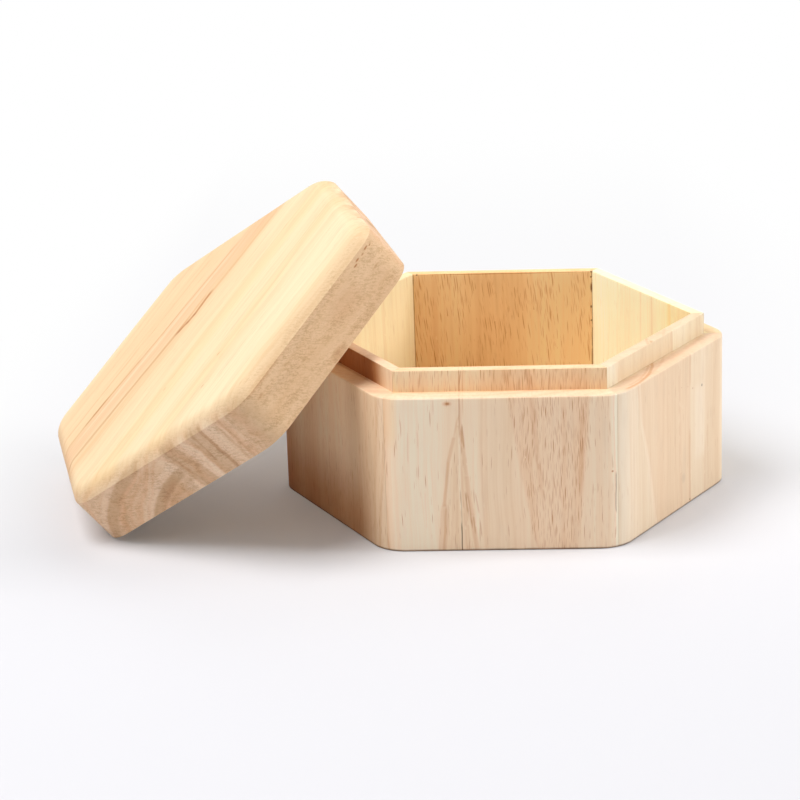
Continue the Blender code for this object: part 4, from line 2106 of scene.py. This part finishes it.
@dataclass
class Studio:
    """A pale seamless floor, soft light from overhead and the photograph's camera.

    Attributes:
        camera_place: where the camera stands, in metres.
        camera_yaw: its turn away from straight ahead, in radians.
        camera_pitch: how far it looks down.
        camera_roll: how far it leans to one side.
        camera_range: nearest and farthest distance that it sees, in metres.
        lens_mm: focal length of its lens.
        sensor_mm: width of its sensor.
        sky: strength of the white sky's light.
        floor_colour: colour of the floor.
        floor_roughness: roughness of the floor.
        floor_specular: how much the floor reflects.
        floor_reach: half the floor's width, in metres.
        fade_and_shadow_lift_behind: places on the floor, measured from the box's middle towards the
            back, between which it fades to white as seen. The first lies in front of the middle and the
            fade reaches under the lid, so it is also painted light that lifts the box's shadow there.
        fade_and_shadow_lift_left: distance to the left from which it fades sooner, and how much
            sooner. Near the box this is painted light that lifts its soft shadow.
        fade_and_shadow_lift_right: the same to the right.
        fade_around: distances from the middle between which it fades on all sides.
        lamps: the soft lights.
    """

    camera_place: tuple[float, float, float] = (0.013193, -0.905834, 0.325169)
    camera_yaw: float = math.radians(-3.012)
    camera_pitch: float = math.radians(18.057)
    camera_roll: float = math.radians(-1.918)
    camera_range: tuple[float, float] = (0.05, 50.0)
    lens_mm: float = 127.83
    sensor_mm: float = 36.0
    sky: float = 0.12
    floor_colour: Colour = (0.70, 0.695, 0.72)
    floor_roughness: float = 0.9
    floor_specular: float = 0.1
    floor_reach: float = 6.0
    # The floor's fades reach under the lid and beside the box, where they are painted light in its shadow
    fade_and_shadow_lift_behind: tuple[float, float] = (-0.16, 0.55)
    fade_and_shadow_lift_left: tuple[float, float] = (0.14, 6.0)
    fade_and_shadow_lift_right: tuple[float, float] = (0.07, 3.0)
    fade_around: tuple[float, float] = (0.45, 1.1)
    lamps: tuple[Lamp, ...] = (
        Lamp("key_softbox", (-0.6, -0.2, 1.2), 0.8, 16.0),
        Lamp("side_softbox", (1.2, 0.0, 0.6), 0.6, 10.8),
        Lamp("left_fill", (-0.8, -0.9, 0.9), 0.7, 2.6),
        Lamp("front_fill", (0.5, -1.0, 0.8), 0.7, 0.8),
        Lamp("back_fill", (0.0, 1.1, 0.9), 0.8, 2.5),
        Lamp("right_fill", (0.8, 0.5, 0.9), 0.9, 3.0),
    )

    def build(self) -> None:
        """Set up the camera, the sky, the lights and the floor."""
        bpy.context.scene.view_settings.view_transform = "Standard"
        self.build_camera()
        self.build_sky()
        for lamp in self.lamps:
            self.build_light(lamp)
        self.build_floor()
        LOG.info("studio: %d lights and the floor", len(self.lamps))

    def build_camera(self) -> None:
        """Stand the camera where the photograph was taken from."""
        yaw, pitch, roll = self.camera_yaw, self.camera_pitch, self.camera_roll
        level = math.cos(pitch)
        forward = Vector((math.sin(yaw) * level, math.cos(yaw) * level, -math.sin(pitch)))
        right = Vector((math.cos(yaw), -math.sin(yaw), 0.0))
        up = right.cross(forward)
        right, up = (
            right * math.cos(roll) + up * math.sin(roll),
            up * math.cos(roll) - right * math.sin(roll),
        )
        data = bpy.data.cameras.new("camera")
        data.lens = self.lens_mm
        data.sensor_width = self.sensor_mm
        data.clip_start, data.clip_end = self.camera_range
        camera = bpy.data.objects.new("camera", data)
        bpy.context.scene.collection.objects.link(camera)
        turn = Matrix((right, up, -forward)).transposed().to_4x4()
        camera.matrix_world = Matrix.Translation(self.camera_place) @ turn
        bpy.context.scene.camera = camera

    def build_sky(self) -> None:
        """Hang a white sky that is seen at full strength and lights the box only a little."""
        world = bpy.data.worlds.new("studio")
        world.use_nodes = True
        graph = MaterialGraph(world.node_tree)
        strength = graph.seen() * (1.0 - self.sky) + self.sky
        graph.fill(world.node_tree.nodes["Background"], {"Color": WHITE, "Strength": strength})
        bpy.context.scene.world = world

    def build_light(self, lamp: Lamp) -> None:
        """Hang one soft light, turned to the box.

        Args:
            lamp: the light.
        """
        data = bpy.data.lights.new(lamp.name, "AREA")
        data.size = lamp.size
        data.energy = lamp.watts
        light = bpy.data.objects.new(lamp.name, data)
        bpy.context.scene.collection.objects.link(light)
        light.location = lamp.place
        light.rotation_euler = (-Vector(lamp.place)).to_track_quat("-Z", "Y").to_euler()

    def build_floor(self) -> None:
        """Lay a pale floor that runs back into a white backdrop, and keeps the box's shadow, lightened by
        painted light.
        """
        reach = self.floor_reach
        mesh = bpy.data.meshes.new("floor")
        places = [(-reach, -reach, 0.0), (reach, -reach, 0.0), (reach, reach, 0.0), (-reach, reach, 0.0)]
        mesh.from_pydata(places, [], [(0, 1, 2, 3)])
        mesh.materials.append(self.floor_material())
        floor = bpy.data.objects.new("floor", mesh)
        bpy.context.scene.collection.objects.link(floor)

    def floor_material(self) -> bpy.types.Material:
        """A matt pale floor which the camera sees fade to white behind the box; the fade's edge is painted
        light that lifts the box's shadow.

        Returns:
            The material.
        """
        material = bpy.data.materials.new("studio_floor")
        material.use_nodes = True
        graph = MaterialGraph(material.node_tree)
        finish = {
            "Base Color": self.floor_colour,
            "Roughness": self.floor_roughness,
            "Specular IOR Level": self.floor_specular,
        }
        matt = graph.fill(graph.tree.nodes["Principled BSDF"], finish)
        coordinates = graph.node("ShaderNodeTexCoord")
        x, y, _ = graph.parts(Wire(graph, coordinates.outputs["Object"]))
        # The fade to white reaches under the lid and beside the box, which is painted light that lifts the
        # box's shadow there
        left = graph.math("MAXIMUM", x * -1.0 - self.fade_and_shadow_lift_left[0], 0.0)
        right = graph.math("MAXIMUM", x - self.fade_and_shadow_lift_right[0], 0.0)
        beside = left * self.fade_and_shadow_lift_left[1] + right * self.fade_and_shadow_lift_right[1]
        behind = graph.smooth(y + beside, *self.fade_and_shadow_lift_behind)
        behind = graph.math("MAXIMUM", behind, graph.smooth(graph.length(x, y), *self.fade_around))
        white = graph.use("ShaderNodeEmission", {"Color": WHITE})
        layers = (behind * graph.seen(), Wire(graph, matt.outputs[0]), white)
        shown = graph.use("ShaderNodeMixShader", layers)
        graph.fill(graph.tree.nodes["Material Output"], {"Surface": shown})
        return material


def clear_startup_objects() -> None:
    """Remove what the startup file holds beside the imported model."""
    kept = set(frame["nodes"].values()) | set(frame["bodies"].values())
    for obj in set(bpy.data.objects) - kept:
        bpy.data.objects.remove(obj, do_unlink=True)


def main() -> None:
    """Build the box, its lid and the studio."""
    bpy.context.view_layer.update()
    clear_startup_objects()
    box = BoxSizes.from_frame()
    lid = LidSizes.from_frame()
    shop = TimberShop()
    looks = (*front_timbers(box), *back_timbers(box), base_timber(box), lid_timber(lid))
    finishes = {timber.name: shop.material(timber) for timber in looks}
    walls = Walls(box)
    sweep = HexagonSweep(walls.corner)
    walls.build(sweep, finishes)
    BasePanel(box).build(sweep, finishes["base_panel"])
    Lid(lid).build(sweep, finishes["lid"])
    Studio().build()


if __name__ == "__main__":
    main()
